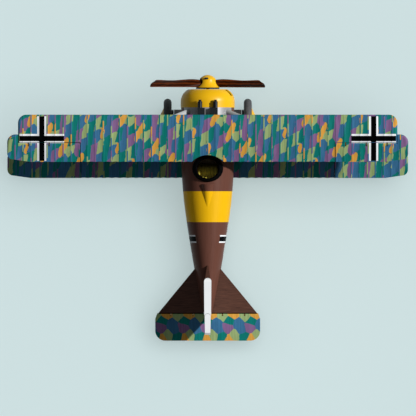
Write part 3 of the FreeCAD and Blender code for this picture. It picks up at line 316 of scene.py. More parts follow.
def srgb(red, green, blue):
    """A screen colour, 0 to 255, as linear light."""
    def linear(value):
        value /= 255
        return value / 12.92 if value <= 0.04045 else ((value + 0.055) / 1.055) ** 2.4
    return tuple(linear(value) for value in (red, green, blue))


def dimmed(colour, share):
    """A share of a colour."""
    return tuple(share * value for value in colour)


YELLOW, BROWN, BLACK, WHITE = srgb(230, 176, 14), srgb(98, 62, 51), srgb(2, 2, 3), srgb(232, 234, 236)

# The five dyes of the printed cover, the order they stand in across the wings, and how the print repeats
DYES = {"teal": srgb(4, 112, 104), "blue": srgb(52, 102, 138), "mauve": srgb(122, 90, 130),
        "olive": srgb(142, 162, 108), "orange": srgb(204, 148, 62)}
WING_DYES = ("olive", "orange", "mauve", "teal", "blue", "mauve", "teal", "olive", "blue", "teal", "orange",
             "olive", "blue", "teal", "mauve", "blue", "orange", "teal")
WING_PRINT = {"repeat": (91.0, 15.0), "shear": 1.013, "lean": 0.4, "wide": 1.75, "tape": TAPE_HALF,
              "shrink": 3.6}
SEAT_DROP, LOWER_STRETCH = 5.6, 1.5

# The elevator's repeat, where it starts, and where its dyes stand in it
TAIL_REPEAT, TAIL_AT = (22.2, 30.0), (3.3, 207.0)
TAIL_SEATS = {(0, 0): "orange", (12, 1): "olive", (-4, 6): "teal", (5.2, 9): "blue", (-6, 13): "mauve",
              (8.5, 15): "blue", (1.5, 21): "olive", (11, 22): "teal", (-4, 24.5): "orange"}

# Patches have wavy edges, and each tape is cut from another part of the cloth.
WAVE, WAVE_SCALES, TAPE_SHIFT, TAPE_START = 0.9, (0.12, 0.09), 29.3, 211.0

# Crosses: a wing's has its place along X and the height that parts the upper face from the lower
CROSS_OUT, CROSS_HALF, CROSS_BAR, CROSS_BORDER = 165.3, 22.25, 5.3, 1.9
UPPER_CROSS, LOWER_CROSS = (-31.2, 34.35), (-47.2, -26.45)
SIDE_CROSS_AT, SIDE_CROSS_UP, SIDE_CROSS_HALF, SIDE_CROSS_BAR, SIDE_CROSS_BORDER = -131.3, 1.4, 16.5, 4.9, 1.4
BAND_AT, BAND_LONG = -99.1, 30.8

# Half the width of the painted shade along the ailerons' gaps, the propeller's layers, and where the seat's
# painted shade blackens it, from its back forward
SEAM_SHADE, PLY_THICK, SEAT_PAINTED_SHADE = 0.4, 1.6, (-66.0, -58.5)


def cross(paint, along, across, half_long, half_wide, border):
    """Masks of a straight-armed cross with open ends: its black bars, and bars with their pale borders."""
    def bars(half):
        one = paint.calc("MULTIPLY", paint.within(along, half_long), paint.within(across, half))
        other = paint.calc("MULTIPLY", paint.within(across, half_long), paint.within(along, half))
        return paint.calc("MAXIMUM", one, other)
    return bars(half_wide), bars(half_wide + border)


def cloth_place(paint, shear, tape, stretch):
    """Where a point lies on the printed cloth, as a vector of across and down, and the mask of the tapes.

    The cloth stands further across the further down it is, by shear, and is stretched lengthwise. Over the
    ribs run narrow tapes, each from another part of it.
    """
    x, y, _ = paint.axes()
    wavy, drift = (paint.varied(paint.noise(scale, detail=2), -WAVE, WAVE, 0.3) for scale in WAVE_SCALES)
    taped = paint.calc("LESS_THAN", paint.calc("PINGPONG", y, RIB_PITCH / 2), tape)
    rib = paint.calc("ROUND", paint.calc("DIVIDE", y, RIB_PITCH))
    shift = paint.calc("MULTIPLY", taped, paint.calc("MULTIPLY_ADD", rib, TAPE_SHIFT, TAPE_START))
    down = paint.calc("DIVIDE", paint.calc("ADD", paint.calc("SUBTRACT", shift, x), drift), stretch)
    side = paint.calc("ADD", paint.calc("SUBTRACT", shift, y), wavy)
    across = paint.calc("MULTIPLY_ADD", down, -shear, side)
    return paint.node("ShaderNodeCombineXYZ", [across, down]).outputs[0], taped


def printed(paint, dyes, seats, repeat, shear=0.0, lean=0.0, wide=1.0, tape=0.0, stretch=1.0, shrink=1.0):
    """Dyed cloth: the plane is shared among seats that repeat, each point going to its nearest seat's dye.

    A seat is (across, down) in a repeat of that size. Each patch leans and is drawn out lengthwise, because
    distances across count wide times, and the orange ones shrink. Returns the colour and the tapes' mask.
    """
    here, taped = cloth_place(paint, shear, tape, stretch)
    half = (repeat[0] / 2, repeat[1] / 2, 1)
    nearest = colour = None
    for dye, seat in zip(dyes, seats):
        away = paint.calc_vector("SUBTRACT", here, (*seat, 0))
        away = paint.calc_vector("WRAP", away, half, tuple(-length for length in half))
        run, drop, _ = paint.axes(away)
        run = paint.calc("MULTIPLY", paint.calc("MULTIPLY_ADD", drop, shear + lean, run), wide)
        gap = paint.calc("ADD", paint.calc("MULTIPLY", run, run), paint.calc("MULTIPLY", drop, drop))
        if dye == "orange":
            gap = paint.calc("MULTIPLY", gap, shrink)
        if nearest is None:
            nearest, colour = gap, DYES[dye]
            continue
        closer = paint.calc("LESS_THAN", gap, nearest)
        nearest = paint.calc("MINIMUM", gap, nearest)
        colour = paint.mix(closer, colour, DYES[dye])
    streaks = paint.noise(0.5, paint.stretched(0.1, 2.4, 1.0), detail=4)
    return paint.mottled(colour, streaks, 0.8, 1.18), taped


def cover_paint(name, node, cross_at, upward):
    """A wing's printed cover, with a cross near each tip on its upper or its lower face, and painted shade
    along the gaps where the ailerons start."""
    paint = Paint(name, Roughness=0.6)
    count = len(WING_DYES)
    long, deep = WING_PRINT["repeat"]
    seats = [(n * long / count, n * SEAT_DROP % deep) for n in range(count)]
    dyes = WING_DYES if upward else ["blue" if dye == "orange" else dye for dye in WING_DYES]
    colour, taped = printed(paint, dyes, seats, stretch=1.0 if upward else LOWER_STRETCH, **WING_PRINT)

    x, y, z = paint.axes()
    out = paint.calc("ABSOLUTE", y)
    black, pale = cross(paint, paint.calc("ADD", x, -cross_at[0]), paint.calc("SUBTRACT", out, CROSS_OUT),
                        CROSS_HALF, CROSS_BAR / 2, CROSS_BORDER)
    facing = paint.calc("GREATER_THAN" if upward else "LESS_THAN", z, cross_at[1])
    colour = paint.mix(paint.calc("MULTIPLY", pale, facing), colour, WHITE)
    # Painted shade: a black line along the gap at each aileron's inner end
    gap_shade = paint.within(paint.calc("SUBTRACT", out, AILERON_IN), SEAM_SHADE)
    behind = paint.calc("LESS_THAN", x, extent(node)[1].x - BAY)
    colour = paint.mix(paint.calc("MULTIPLY", gap_shade, behind), colour, BLACK)
    black = paint.calc("MULTIPLY", black, facing)
    paint.colour(paint.mix(black, colour, BLACK))
    paint.specular(0.1, paint.spread(black, 1.0, 0.2))
    weave = paint.noise(2.6, detail=2)
    paint.bump(paint.calc("MULTIPLY_ADD", taped, 0.5, paint.calc("MULTIPLY", weave, 0.5)), 0.12)
    return paint.material


def elevator_paint():
    """The elevator's printed cover, in larger patches."""
    paint = Paint("elevator_cover", Roughness=0.6, Specular_IOR_Level=0.1)
    seats = [(across + TAIL_AT[0], down + TAIL_AT[1]) for across, down in TAIL_SEATS]
    paint.colour(printed(paint, TAIL_SEATS.values(), seats, TAIL_REPEAT)[0])
    paint.bump(paint.noise(2.6, detail=2), 0.06)
    return paint.material


def grain_paint(name, light, dark, along, rough=0.45, **sockets):
    """Wood with its grain along one datum axis."""
    paint = Paint(name, **sockets)
    reach = [0.9, 0.9, 0.9]
    reach[along] = 0.05
    lines = paint.noise(1.6, paint.stretched(*reach), detail=6, rough=0.65)
    paint.colour(paint.between(lines, dark, light, 0.15))
    paint.rough(paint.spread(lines, rough + 0.1, rough - 0.05))
    paint.bump(lines, 0.05)
    return paint.material


def coat_paint(name, colour, rough=0.3, wobble=0.08, **sockets):
    """Brushed or sprayed paint: soft mottling and orange peel."""
    paint = Paint(name, **sockets)
    cloudy = paint.noise(0.06, detail=4)
    paint.colour(paint.mottled(colour, cloudy, 1.0 - wobble, 1.0 + wobble))
    peel = paint.noise(1.4, detail=3)
    paint.rough(paint.varied(peel, rough - 0.05, rough + 0.08))
    paint.bump(peel, 0.02)
    return paint.material


def fuselage_paint():
    """Brown paint with the yellow band and a cross on each side."""
    paint = Paint("brown_paint")
    x, _, z = paint.axes()
    brushed = paint.noise(0.5, paint.stretched(0.1, 1.4, 1.4), detail=5)
    brown = paint.between(brushed, dimmed(BROWN, 0.86), BROWN)
    yellow_band = paint.between(brushed, dimmed(YELLOW, 0.93), YELLOW)
    band = paint.within(paint.calc("ADD", x, -BAND_AT), BAND_LONG / 2)
    black, pale = cross(paint, paint.calc("ADD", x, -SIDE_CROSS_AT), paint.calc("ADD", z, -SIDE_CROSS_UP),
                        SIDE_CROSS_HALF, SIDE_CROSS_BAR / 2, SIDE_CROSS_BORDER)
    colour = paint.mix(band, brown, yellow_band)
    colour = paint.mix(pale, colour, WHITE)
    paint.colour(paint.mix(black, colour, BLACK))
    paint.specular(0.07, paint.spread(black, 1.0, 2 / 7))
    paint.rough(paint.varied(brushed, 0.34, 0.46))
    paint.bump(brushed, 0.03)
    return paint.material


def laminated_paint():
    """Propeller wood: glued layers across the shaft, under dark red-brown varnish."""
    paint = Paint("propeller_wood", Specular_IOR_Level=0.04, Roughness=0.38)
    figure = paint.noise(0.35, paint.stretched(0.8, 0.35, 0.8), detail=5)
    level = paint.calc("ADD", paint.axes()[0], paint.varied(figure, -0.35, 0.35))
    light_ply = paint.calc("GREATER_THAN", paint.calc("PINGPONG", level, PLY_THICK), PLY_THICK / 2)
    wood = paint.mix(light_ply, srgb(36, 11, 3), srgb(86, 37, 8))
    streak = paint.noise(1.2, paint.stretched(1.0, 0.12, 1.0), detail=6)
    paint.colour(paint.mottled(wood, streak, 0.6, 1.25))
    paint.bump(streak, 0.03)
    return paint.material


def leather_paint(name, light, dark, rough, painted_shade=()):
    """Hide with a pebbled grain, rubbed pale in places, and painted shade that blackens it forward between
    two places along X.
    """
    paint = Paint(name, Specular_IOR_Level=0.03)
    pebbles = paint.node("ShaderNodeTexVoronoi", {"Vector": paint.place(), "Scale": 1.5},
                         feature="DISTANCE_TO_EDGE").outputs["Distance"]
    worn = paint.noise(0.25, detail=4)
    hide = paint.between(worn, dark, light, 0.15)
    # Painted shade: the hide blackens from its back towards the front
    if painted_shade:
        hide = paint.mix(paint.spread(paint.axes()[0], 0.0, 1.0, *painted_shade), hide, dimmed(dark, 1 / 12))
    paint.colour(hide)
    paint.rough(paint.varied(worn, rough + 0.1, rough - 0.08))
    paint.bump(paint.spread(pebbles, 0.0, 1.0, 0.0, 0.3), 0.08)
    return paint.material


def metal_paint(name, colour, rough, along=(1, 1, 1), metallic=1.0):
    """Turned or brushed metal."""
    paint = Paint(name, Metallic=metallic)
    lines = paint.noise(2.5, paint.stretched(*along), detail=4)
    paint.colour(paint.mottled(colour, lines, 0.85, 1.1))
    paint.rough(paint.varied(lines, rough - 0.06, rough + 0.1))
    paint.bump(lines, 0.015)
    return paint.material


def rubber_paint():
    """Grey tyre rubber, dusty all over."""
    paint = Paint("grey_rubber", Specular_IOR_Level=0.3)
    dust = paint.noise(0.4, detail=6)
    paint.colour(paint.between(dust, srgb(64, 64, 66), srgb(84, 84, 85)))
    paint.rough(paint.varied(dust, 0.55, 0.75))
    paint.bump(paint.noise(3.0, detail=3), 0.05)
    return paint.material


# Wings: printed cover drawn tight over the ribs, with tapes, scalloped edges and rounded tips ----------


def quarter(run, reach):
    """How far a round corner of the given reach has drawn in at a run past its start."""
    return reach - math.sqrt(max(reach * reach - run * run, 0.0))


def rib_stations(start, end):
    """Places along the span: close together at each rib's tape, wider between the ribs."""
    places = {start, end}
    for rib in range(int(start // RIB_PITCH) - 1, int(end // RIB_PITCH) + 2):
        for step in RIB_STEPS:
            place = (rib + step) * RIB_PITCH
            if start < place < end:
                places.add(place)
    return places


def hollow_at(y):
    """0 over a rib, 1 midway between two."""
    return math.sin(math.pi * (y / RIB_PITCH % 1.0)) ** 2


def over_tape(y):
    """Whether a place along the span is on a rib's tape."""
    away = abs(y / RIB_PITCH - round(y / RIB_PITCH)) * RIB_PITCH
    return away < TAPE_HALF + TAPE_EDGE


def roof_at(x):
    """Height of the wing's upper surface, at x aft of the leading edge."""
    if x < CREST:
        return THICK - (THICK - NOSE_HIGH) * ((CREST - x) / CREST) ** 2
    return EDGE_THICK + (THICK - EDGE_THICK) * (1 - ((x - CREST) / (CHORD - CREST)) ** 2)


def wing_ring(y, front, nose, back, thin):
    """One section of a wing or aileron: over the top from front to back, and home underneath."""
    middle = roof_at(front + nose) / 2
    proud = TAPE_PROUD if over_tape(y) else 0.0

    def line(points, height):
        """Points from front to back, close together at the front and drawn in round the nose."""
        made = []
        for n in range(points):
            x = front + (back - front) * (n / (points - 1)) ** POINTS_CROWD
            reach = min(max((x - front) / nose, 0.0), 1.0)
            bulge = math.sqrt(reach * (2 - reach))
            slack = min(1.0, max((x - front - SAG_AFT) / SAG_RISE, 0.0), max((back - x) / SAG_FALL, 0.0))
            made.append((x, middle + (height(x, SAG * hollow_at(y) * slack) - middle) * bulge * thin))
        return made

    top = line(TOP_POINTS, lambda x, sag: roof_at(x) - sag + proud)
    under = line(UNDER_POINTS, lambda x, sag: sag * UNDER_SAG)
    return top + under[:0:-1]


def wing_mesh(name, sections, lead, floor_at, side=1):
    """A skin through (y, front, nose, back, thin) sections, set behind a leading edge."""
    rings = []
    for y, *shape in sections:
        rings.append([(lead - x, side * y, floor_at + z) for x, z in wing_ring(y, *shape)])
    return skinned(name, rings)


def panel_front(y, half):
    """The leading edge's draw-in round the tip corner."""
    return quarter(max(abs(y) - (half - TIP_ROUND), 0.0), TIP_ROUND)


def panel_back(y, notched):
    """The trailing edge: scalloped between ribs, bowed in over the cockpit, cut away for the ailerons."""
    if abs(y) > AILERON_IN:
        return BAY
    if notched and abs(y) < NOTCH_HALF:
        radius = (NOTCH_HALF**2 + NOTCH_DEEP**2) / (2 * NOTCH_DEEP)
        return CHORD - (math.sqrt(radius**2 - y * y) - (radius - NOTCH_DEEP))
    return CHORD - SCALLOP * hollow_at(y)


def edge_thin(away, over):
    """How a free edge thins over its last millimetres."""
    left = min(max(away / over, THIN_LEAST), 1.0)
    return math.sqrt(left * (2 - left))


def panel_sections(half, notched):
    """From tip to tip, closer together round the tips, at the aileron bays and round the notch."""
    steps = [half - TIP_ROUND * share for share in TIP_SHARES]
    steps += [AILERON_IN - STEP, AILERON_IN + STEP]
    steps += [NOTCH_HALF * share for share in NOTCH_SHARES] if notched else []
    places = rib_stations(-half, half)
    places.update(side * place for place in steps for side in (-1, 1))
    return [(y, panel_front(y, half), NOSE_LONG, panel_back(y, notched), edge_thin(half - abs(y), PANEL_THIN))
            for y in sorted(places)]


def slots_at(half):
    """How far out the hinge slots are."""
    return [AILERON_IN + (half - AILERON_IN) * (n + 0.5) / HINGES for n in range(HINGES)]


def aileron_front(y, half):
    """The front edge and how long its nose is: round on the hinge line, cut back at a slot, ahead at
    the horn."""
    if y > half + SEAM:
        return HORN_FRONT + quarter(max(y - (half + HORN_OUT - HORN_ROUND), 0.0), HORN_ROUND), NOSE_LONG
    if any(abs(y - slot) < SLOT_HALF for slot in slots_at(half)):
        return HINGE_AFT + SLOT_PAST, SLOT_NOSE
    return HINGE_AFT - NOSE_R, NOSE_R


def aileron_back(y, tip):
    """The trailing edge: straight, then raked, then round the corner to the tip."""
    if y > tip - TIP_IN:
        reach = (y - (tip - TIP_IN)) / TIP_IN
        return TIP_SIDE + (TIP_CORNER - TIP_SIDE) * math.sqrt(max(1 - reach * reach, 0.0))
    if y > tip - TIP_SLANT:
        return CHORD - (CHORD - TIP_CORNER) * (y - (tip - TIP_SLANT)) / (TIP_SLANT - TIP_IN)
    return CHORD


def aileron_sections(half):
    """From the inner edge out: blunt nose, hinge slots, then the horn and the raked round tip."""
    inner, horn, tip = AILERON_IN + SEAM, half + SEAM, half + HORN_OUT
    places = rib_stations(inner, tip)
    places.update((horn - STEP, horn + STEP, tip - TIP_SLANT, tip - TIP_IN, tip - TIP_IN * TIP_MID))
    for slot in slots_at(half):
        places.update(slot + side * (SLOT_HALF + step) for side in (-1, 1) for step in (-STEP, STEP))
    places.update(tip - HORN_ROUND * share for share in HORN_SHARES)
    return [(y, *aileron_front(y, half), aileron_back(y, tip), edge_thin(tip - y, AILERON_THIN))
            for y in sorted(places)]


def dress_wing(name, half, notched, paint, shade_cloth):
    """Replaces one wing's cover and both its ailerons, and lines the hinge slots with black cloth as painted
    shade.
    """
    low, high = extent(f"{name}_wing")
    lead, floor_at = high.x, low.z
    mesh = wing_mesh(f"{name}_wing_cover", panel_sections(half, notched), lead, floor_at)
    cover = finished(mesh, "airframe", paint)
    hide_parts(f"{name}_wing")
    for side, label in SIDES:
        node = f"{name}_{label}_aileron"
        mesh = wing_mesh(node + "_cover", aileron_sections(half), lead, floor_at, side)
        flap = finished(mesh, node + "_body", paint)
        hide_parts(node)
        shade_pockets(node, [(lead - HINGE_AFT - POCKET_LONG / 2, side * out, floor_at + POCKET_UP)
                       for out in slots_at(half)], shade_cloth)


def shade_pockets(surface, spots, paint):
    """Black cloth closing a control surface's hinge slots from below: painted shade for the slots."""
    bm = bmesh.new()
    sizes = Matrix.Diagonal((POCKET_LONG, POCKET_WIDE, POCKET_THICK, 1))
    for spot in spots:
        bmesh.ops.create_cube(bm, matrix=Matrix.Translation(spot) @ sizes)
    finished(mesh_of(f"{surface}_pockets", bm), f"{surface}_body", paint)


# Cockpit: padded coaming and channelled seat ----------------------------------------------------------


def dress_coaming(paint):
    """A stuffed leather roll round the cockpit opening, drooping with the deck and puckered by its lacing."""
    low, high = extent("cockpit_coaming")
    middle, half = (low + high) / 2, (high - low) / 2
    rings = []
    for n in range(COAMING_TURNS):
        angle = 2 * math.pi * n / COAMING_TURNS
        cos, sin = math.cos(angle), math.sin(angle)
        outer = Vector((cos * half.x, sin * half.y, 0))
        inner = Vector((cos * (half.x - COAMING_END), sin * (half.y - COAMING_SIDE), 0))
        pucker = 1 - COAMING_PUCKER * abs(math.sin(COAMING_LACES * angle / 2)) ** 6
        ring = []
        for step in range(COAMING_POINTS):
            around = 2 * math.pi * step / COAMING_POINTS
            spot = middle + inner.lerp(outer, 0.5 + 0.5 * math.cos(around) * pucker)
            deck = math.sqrt(max(DECK_R**2 - spot.y**2, 0.0))
            ring.append((spot.x, spot.y, deck + COAMING_SEAT + COAMING_HIGH * math.sin(around) * pucker))
        rings.append(ring)
    mesh = skinned("cockpit_coaming_roll", rings + rings[:1], closed_ends=False)
    bm = bmesh.new()
    bm.from_mesh(mesh)
    bmesh.ops.remove_doubles(bm, verts=bm.verts, dist=1e-4)
    bm.to_mesh(mesh)
    bm.free()
    roll = finished(mesh, "airframe", paint, smooth_angle=80)
    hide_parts("cockpit_coaming")


def channelled_pad(name, node, foot, head, wide, thick, paint):
    """A seat pad between two edges, crowned, with sewn channels that run from one edge to the other."""
    foot, head = Vector(foot), Vector(head)
    run = head - foot
    face = Vector((run.z, 0, -run.x)).normalized()
    rings = []
    for n in range(PAD_ACROSS + 1):
        side = 2 * n / PAD_ACROSS - 1
        channel = 1 - CHANNEL_DEEP * abs(math.cos(math.pi * CHANNELS * (n / PAD_ACROSS))) ** 5
        crown = (1 - abs(side) ** 5) ** 0.5
        top, under = [], []
        for m in range(PAD_ALONG + 1):
            share = m / PAD_ALONG
            ends = (1 - abs(2 * share - 1) ** 6) ** 0.5
            spot = foot + run * share + PORT * (side * wide / 2)
            puff = PAD_EDGE + (1 - PAD_EDGE) * crown * ends * channel
            top.append(spot + face * (thick * puff))
            under.append(spot + face * thick * PAD_UNDER * (1 - crown * ends))
        rings.append(top + under[::-1])
    pad = finished(skinned(name, rings), "airframe", paint, smooth_angle=70)
    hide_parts(node)


def dress_seat(paint):
    """A level pad to sit on and a back pad that leans aft."""
    low, high = extent("seat_cushion")
    channelled_pad("seat_squab", "seat_cushion", (high.x, 0, low.z), (low.x, 0, low.z), high.y - low.y,
                   high.z - low.z, paint)
    low, high = extent("seat_back_pad")
    lean = SEAT_LEAN * (high.z - low.z)
    channelled_pad("seat_back_squab", "seat_back_pad", (low.x + lean, 0, low.z), (low.x, 0, high.z),
                   high.y - low.y, high.x - low.x - lean, paint)


# Tail: cloth over the elevator's gap and in its hinge slots, black as painted shade --------------------


def dress_gap(paint):
    """A dark strip along each half of the tailplane's rear edge and lined hinge slots in the elevator: cloth
    that seals the gap, black as painted shade.
    """
    low, high = extent("tailplane")
    sizes = (STRIP_PAST, high.y - STRIP_IN, STRIP_THICK)
    for side, label in SIDES:
        centre = (low.x - STRIP_PAST / 2, side * (STRIP_IN + high.y) / 2, high.z - STRIP_THICK / 2)
        strip = block(f"{label}_gap_shade_strip", centre, sizes, STRIP_BEVEL)
        finished(strip, "airframe", paint)
    spots = [(low.x - TANG_AFT, share * high.y, low.z + POCKET_THICK / 2) for share in TANGS]
    shade_pockets("elevator", spots, paint)


# Propeller: raked round tips, and the painted shade of an opening in the spinner ------------------------


def dress_propeller(paint):
    """The blades with their front corners rounded away, so that the rear corners reach furthest out."""
    rear = extent("propeller")[0].x
    mesh = NODES["propeller"].data.copy()
    mesh.name = "propeller_blades"
    mesh.transform(TO_DATUM @ NODES["propeller"].matrix_world)
    reach = max(math.hypot(vertex.co.y, vertex.co.z) for vertex in mesh.vertices)
    for vertex in mesh.vertices:
        out = math.hypot(vertex.co.y, vertex.co.z)
        share = min(max((out - reach + RAKE_LONG) / RAKE_LONG, 0.0), 1.0)
        ahead = min(max((vertex.co.x - rear) / TIP_DEEP, 0.0), 1.0)
        pull = (RAKE * ahead ** 2 - RAKE_REAR * (1 - ahead)) * share * share
        vertex.co.y *= 1 - pull / max(out, 1.0)
        vertex.co.z *= 1 - pull / max(out, 1.0)
    mesh.materials.clear()
    blades = finished(mesh, "propeller_group", paint, smooth_angle=50)
    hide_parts("propeller")


def dress_spinner(paint):
    """A dark block sunk in the top of the spinner: painted shade for an opening there."""
    points = [TO_DATUM @ vertex.co for vertex in NODES["spinner"].data.vertices]
    radius = max(math.hypot(point.y, point.z) for point in points if abs(point.x - HOLE_SHADE_X) < 1)
    centre = (HOLE_SHADE_X, HOLE_SHADE_Y, math.sqrt(radius**2 - HOLE_SHADE_Y**2) - HOLE_SHADE_SINK)
    slot = block("spinner_hole_shade", centre, HOLE_SHADE_SIZES, HOLE_SHADE_BEVEL)
    finished(slot, "propeller_group", paint)


# Guns -------------------------------------------------------------------------------------------------


def slotted_jacket(name, front, back, radius, at, paint):
    """A cooling jacket with rows of slots, ringed at both ends."""
    bm = bmesh.new()
    angles = [2 * math.pi * m / JACKET_TURNS for m in range(JACKET_TURNS)]
    grid = []
    for n in range(JACKET_RINGS + 1):
        x = back + (front - back) * n / JACKET_RINGS
        grid.append([bm.verts.new((x, at.y + radius * math.cos(angle), at.z + radius * math.sin(angle)))
                     for angle in angles])
    for n in range(JACKET_RINGS):
        slotted = SOLID_RINGS < n < JACKET_RINGS - SOLID_RINGS and n % EVERY_RINGS in OPEN_RINGS
        for m in range(JACKET_TURNS):
            if slotted and m % EVERY_TURNS in OPEN_TURNS:
                continue
            after = (m + 1) % JACKET_TURNS
            bm.faces.new((grid[n][m], grid[n][after], grid[n + 1][after], grid[n + 1][m]))
    bmesh.ops.recalc_face_normals(bm, faces=bm.faces)
    jacket = finished(mesh_of(name, bm), "airframe", paint)
    wall = jacket.modifiers.new("wall", "SOLIDIFY")
    wall.thickness = JACKET_WALL * MM
    wall.offset = -1
    return jacket


def dress_guns(paint):
    """Both guns ahead of their receivers: slotted jackets, barrels with flared muzzles, and foresights."""
    low, high = extent("gun_jackets")
    radius = (high.z - low.z) / 2
    muzzle, (cap_back, cap_front) = high.x, CAP
    profile = [(low.x, 0.0), (low.x, BARREL_R), (muzzle - cap_back, BARREL_R), (muzzle - cap_back, radius),
               (muzzle - cap_front, radius), *((muzzle - back, r) for back, r in FLARE + BORE),
               (muzzle - BORE[-1][0], 0.0)]
    for side, label in SIDES:
        gun = f"{label}_gun"
        at = Vector((0, side * (high.y - radius), (low.z + high.z) / 2))
        sight_at = at + Vector((muzzle - SIGHT_BACK, 0, radius))
        jacket = slotted_jacket(f"{gun}_jacket", muzzle - JACKET_BACK, low.x, radius - JACKET_IN, at, paint)
        barrel = finished(lathed(f"{gun}_barrel", profile, BARREL_TURNS, at), "airframe", paint)
        sight = finished(block(f"{gun}_sight", sight_at, SIGHT_SIZES, SIGHT_BEVEL), "airframe", paint)
        for piece in (jacket, barrel, sight):
            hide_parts("gun_jackets")


# Dressing the model -----------------------------------------------------------------------------------

# Black cloth for hinge slots and gaps: a dark stand-in for the shade inside them
shade_cloth = coat_paint("black_shade_cloth", srgb(10, 6, 5), rough=0.8, Specular_IOR_Level=0.05)
upper_cover = cover_paint("printed_cover", "upper_wing", UPPER_CROSS, upward=True)
lower_cover = cover_paint("printed_cover_low", "lower_wing", LOWER_CROSS, upward=False)
dress_wing("upper", UPPER_HALF, True, upper_cover, shade_cloth)
dress_wing("lower", LOWER_HALF, False, lower_cover, shade_cloth)
dress_coaming(leather_paint("black_leather", srgb(3, 3, 4), srgb(1, 1, 1), 0.7))
# The seat's pale colours are painted light, lifting a seat that sits in shade, and its front blackens as
# painted shade
dress_seat(leather_paint("olive_leather", srgb(252, 232, 104), srgb(214, 194, 76), 0.6, SEAT_PAINTED_SHADE))
dress_gap(shade_cloth)
dress_propeller(laminated_paint())
gun_metal = metal_paint("gun_black", srgb(34, 38, 42), 0.42, (0.2, 1, 1), metallic=0.6)
dress_guns(gun_metal)
dress_spinner(gun_metal)

# The CAD pieces that stay as they are, by their paint
PAINTED = [
    (fuselage_paint(), ["fuselage_shell", "headrest_fairing"]),
    (coat_paint("yellow_paint", YELLOW, rough=0.34, wobble=0.05, Specular_IOR_Level=0.22),
     ["cowling", "spinner", "left_wheel_cover", "right_wheel_cover"]),
    (coat_paint("grey_metal", srgb(150, 150, 152), rough=0.35, Metallic=0.2), ["top_deck"]),
    (metal_paint("dark_metal", srgb(34, 34, 36), 0.5),
     ["spinner_backplate", "engine_crankcase", "engine_cylinders"]),
    (metal_paint("steel", srgb(170, 172, 176), 0.3),
     ["axle", "axle_collars", "propeller_shaft", "propeller_nut"]),
    (metal_paint("brass", srgb(190, 150, 80), 0.3),
     ["shaft_bush", "gauges", "upper_aileron_hinges", "lower_aileron_hinges", "elevator_hinges",
      "rudder_hinges"]),
    (gun_metal, ["gun_receivers"]),
    (elevator_paint(), ["elevator"]),
    (rubber_paint(), ["left_tyre", "right_tyre"]),
    (coat_paint("black_plastic", srgb(26, 26, 28), rough=0.35), ["left_wheel_disc", "right_wheel_disc"]),
    (coat_paint("white_paint", srgb(236, 238, 238), rough=0.35, wobble=0.02), ["fin", "rudder"]),
    (coat_paint("grey_paint", srgb(168, 171, 171), rough=0.4, wobble=0.05, Specular_IOR_Level=0.25),
     ["cabane_struts", "interplane_struts", "interplane_diagonals", "undercarriage_legs", "axle_fairing"]),
    (grain_paint("stained_wood", srgb(92, 60, 48), srgb(64, 40, 32), 1, Specular_IOR_Level=0.15),
     ["tailplane", "dorsal_fillet"]),
    (grain_paint("ash", srgb(150, 106, 66), srgb(112, 72, 42), 0), ["tail_skid"]),
    (grain_paint("ply", srgb(206, 172, 122), srgb(176, 138, 92), 0),
     ["fuselage_formers", "firewall", "cockpit_floor"]),
    (grain_paint("dark_ply", srgb(84, 52, 32), srgb(52, 32, 20), 1), ["instrument_panel", "seat_pan"]),
    (grain_paint("balsa", srgb(224, 196, 150), srgb(200, 168, 118), 1),
     ["upper_wing_spars", "upper_wing_ribs", "lower_wing_spars", "lower_wing_ribs"]),
]
for paint, nodes in PAINTED:
    for node in nodes:
        materials = NODES[node].data.materials
        materials.clear()
        materials.append(paint)

# Stage ------------------------------------------------------------------------------------------------

# Colours as the camera sees them, and the light that the floor and the world give the object
FLOOR_SEEN, FLOOR_BOUNCE = srgb(214, 232, 232), (0.11, 0.11, 0.11)
WORLD_SEEN, WORLD_LIGHT = srgb(203, 221, 221), (0.16, 0.17, 0.18)
FLOOR_HALF_M, SUN_WAY = 4.0, (22, -67, 59)

# The camera looks down the datum's Z axis at VIEW_AT, from FAR above it, and its frame is FRAME_WIDE wide.
VIEW_AT, FRAME_WIDE, FAR = Vector((-100.4, -0.3, 0)), 416.0, 10000.0
SENSOR_MM, CLIP_M = 36, (0.1, 100)


def floor_paint():
    """Pale to the camera, in mirrors and through glass, and dimmer as a source of light."""
    paint = Paint("floor", Roughness=1.0, Specular_IOR_Level=0.0)
    rays = paint.node("ShaderNodeLightPath").outputs
    seen = paint.calc("MAXIMUM", paint.calc("MAXIMUM", rays["Is Camera Ray"], rays["Is Glossy Ray"]),
                      rays["Is Transmission Ray"])
    paint.colour(paint.mix(seen, FLOOR_BOUNCE, FLOOR_SEEN))
    return paint.material


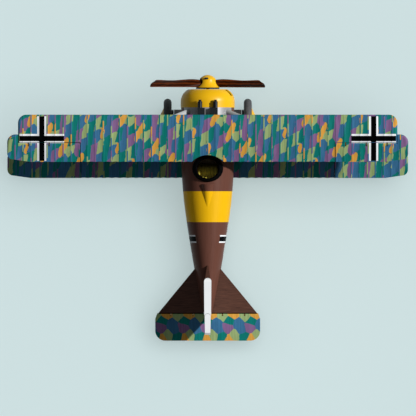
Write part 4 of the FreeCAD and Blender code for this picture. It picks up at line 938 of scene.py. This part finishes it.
def lamp(name, power, toward, spread, receivers):
    """A distant lamp that shines on the given objects only, spread over an angle in degrees."""
    data = bpy.data.lights.new(name, "SUN")
    data.energy, data.angle = power, math.radians(spread)
    made = bpy.data.objects.new(name, data)
    made.rotation_euler = Vector(toward).to_track_quat("Z", "Y").to_euler()
    bpy.context.scene.collection.objects.link(made)
    group = bpy.data.collections.new(name + "_receivers")
    for piece in receivers:
        group.objects.link(piece)
    made.light_linking.receiver_collection = group
    return data


def light_world():
    """Even light from all round, and a pale background to the camera."""
    world = bpy.data.worlds.new("studio")
    bpy.context.scene.world = world
    world.use_nodes = True
    tree = world.node_tree
    rays = tree.nodes.new("ShaderNodeLightPath").outputs
    pick = tree.nodes.new("ShaderNodeMix")
    pick.data_type = "RGBA"
    pick.inputs[6].default_value = (*WORLD_LIGHT, 1)
    pick.inputs[7].default_value = (*WORLD_SEEN, 1)
    tree.links.new(rays["Is Camera Ray"], pick.inputs[0])
    tree.links.new(pick.outputs[2], tree.nodes["Background"].inputs["Color"])


mesh = bpy.data.meshes.new("floor")
corners = [(x * FLOOR_HALF_M, y * FLOOR_HALF_M, 0) for x, y in ((-1, -1), (1, -1), (1, 1), (-1, 1))]
mesh.from_pydata(corners, [], [(0, 1, 2, 3)])
mesh.materials.append(floor_paint())
floor = bpy.data.objects.new("floor", mesh)
bpy.context.scene.collection.objects.link(floor)
floor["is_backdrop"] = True

lamp("key", power=4.0, toward=TURN @ Vector(SUN_WAY), spread=3, receivers=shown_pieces())
lamp("floor_key", power=0.9, toward=(-0.1, -0.25, 1), spread=60, receivers=[floor])
lamp("floor_fill", power=1.5, toward=(0, 0, 1), spread=10, receivers=[floor]).use_shadow = False
light_world()

lens = bpy.data.cameras.new("camera")
lens.sensor_width = SENSOR_MM
lens.lens = SENSOR_MM * FAR / FRAME_WIDE
lens.clip_start, lens.clip_end = CLIP_M
camera = bpy.data.objects.new("camera", lens)
looking_down = Matrix((-PORT, FORWARD, UP)).transposed().to_4x4()
camera.matrix_world = Matrix.Translation(DATUM @ (VIEW_AT + Vector((0, 0, FAR)))) @ looking_down
bpy.context.scene.collection.objects.link(camera)
bpy.context.scene.camera = camera
bpy.context.scene.view_settings.view_transform = "Standard"
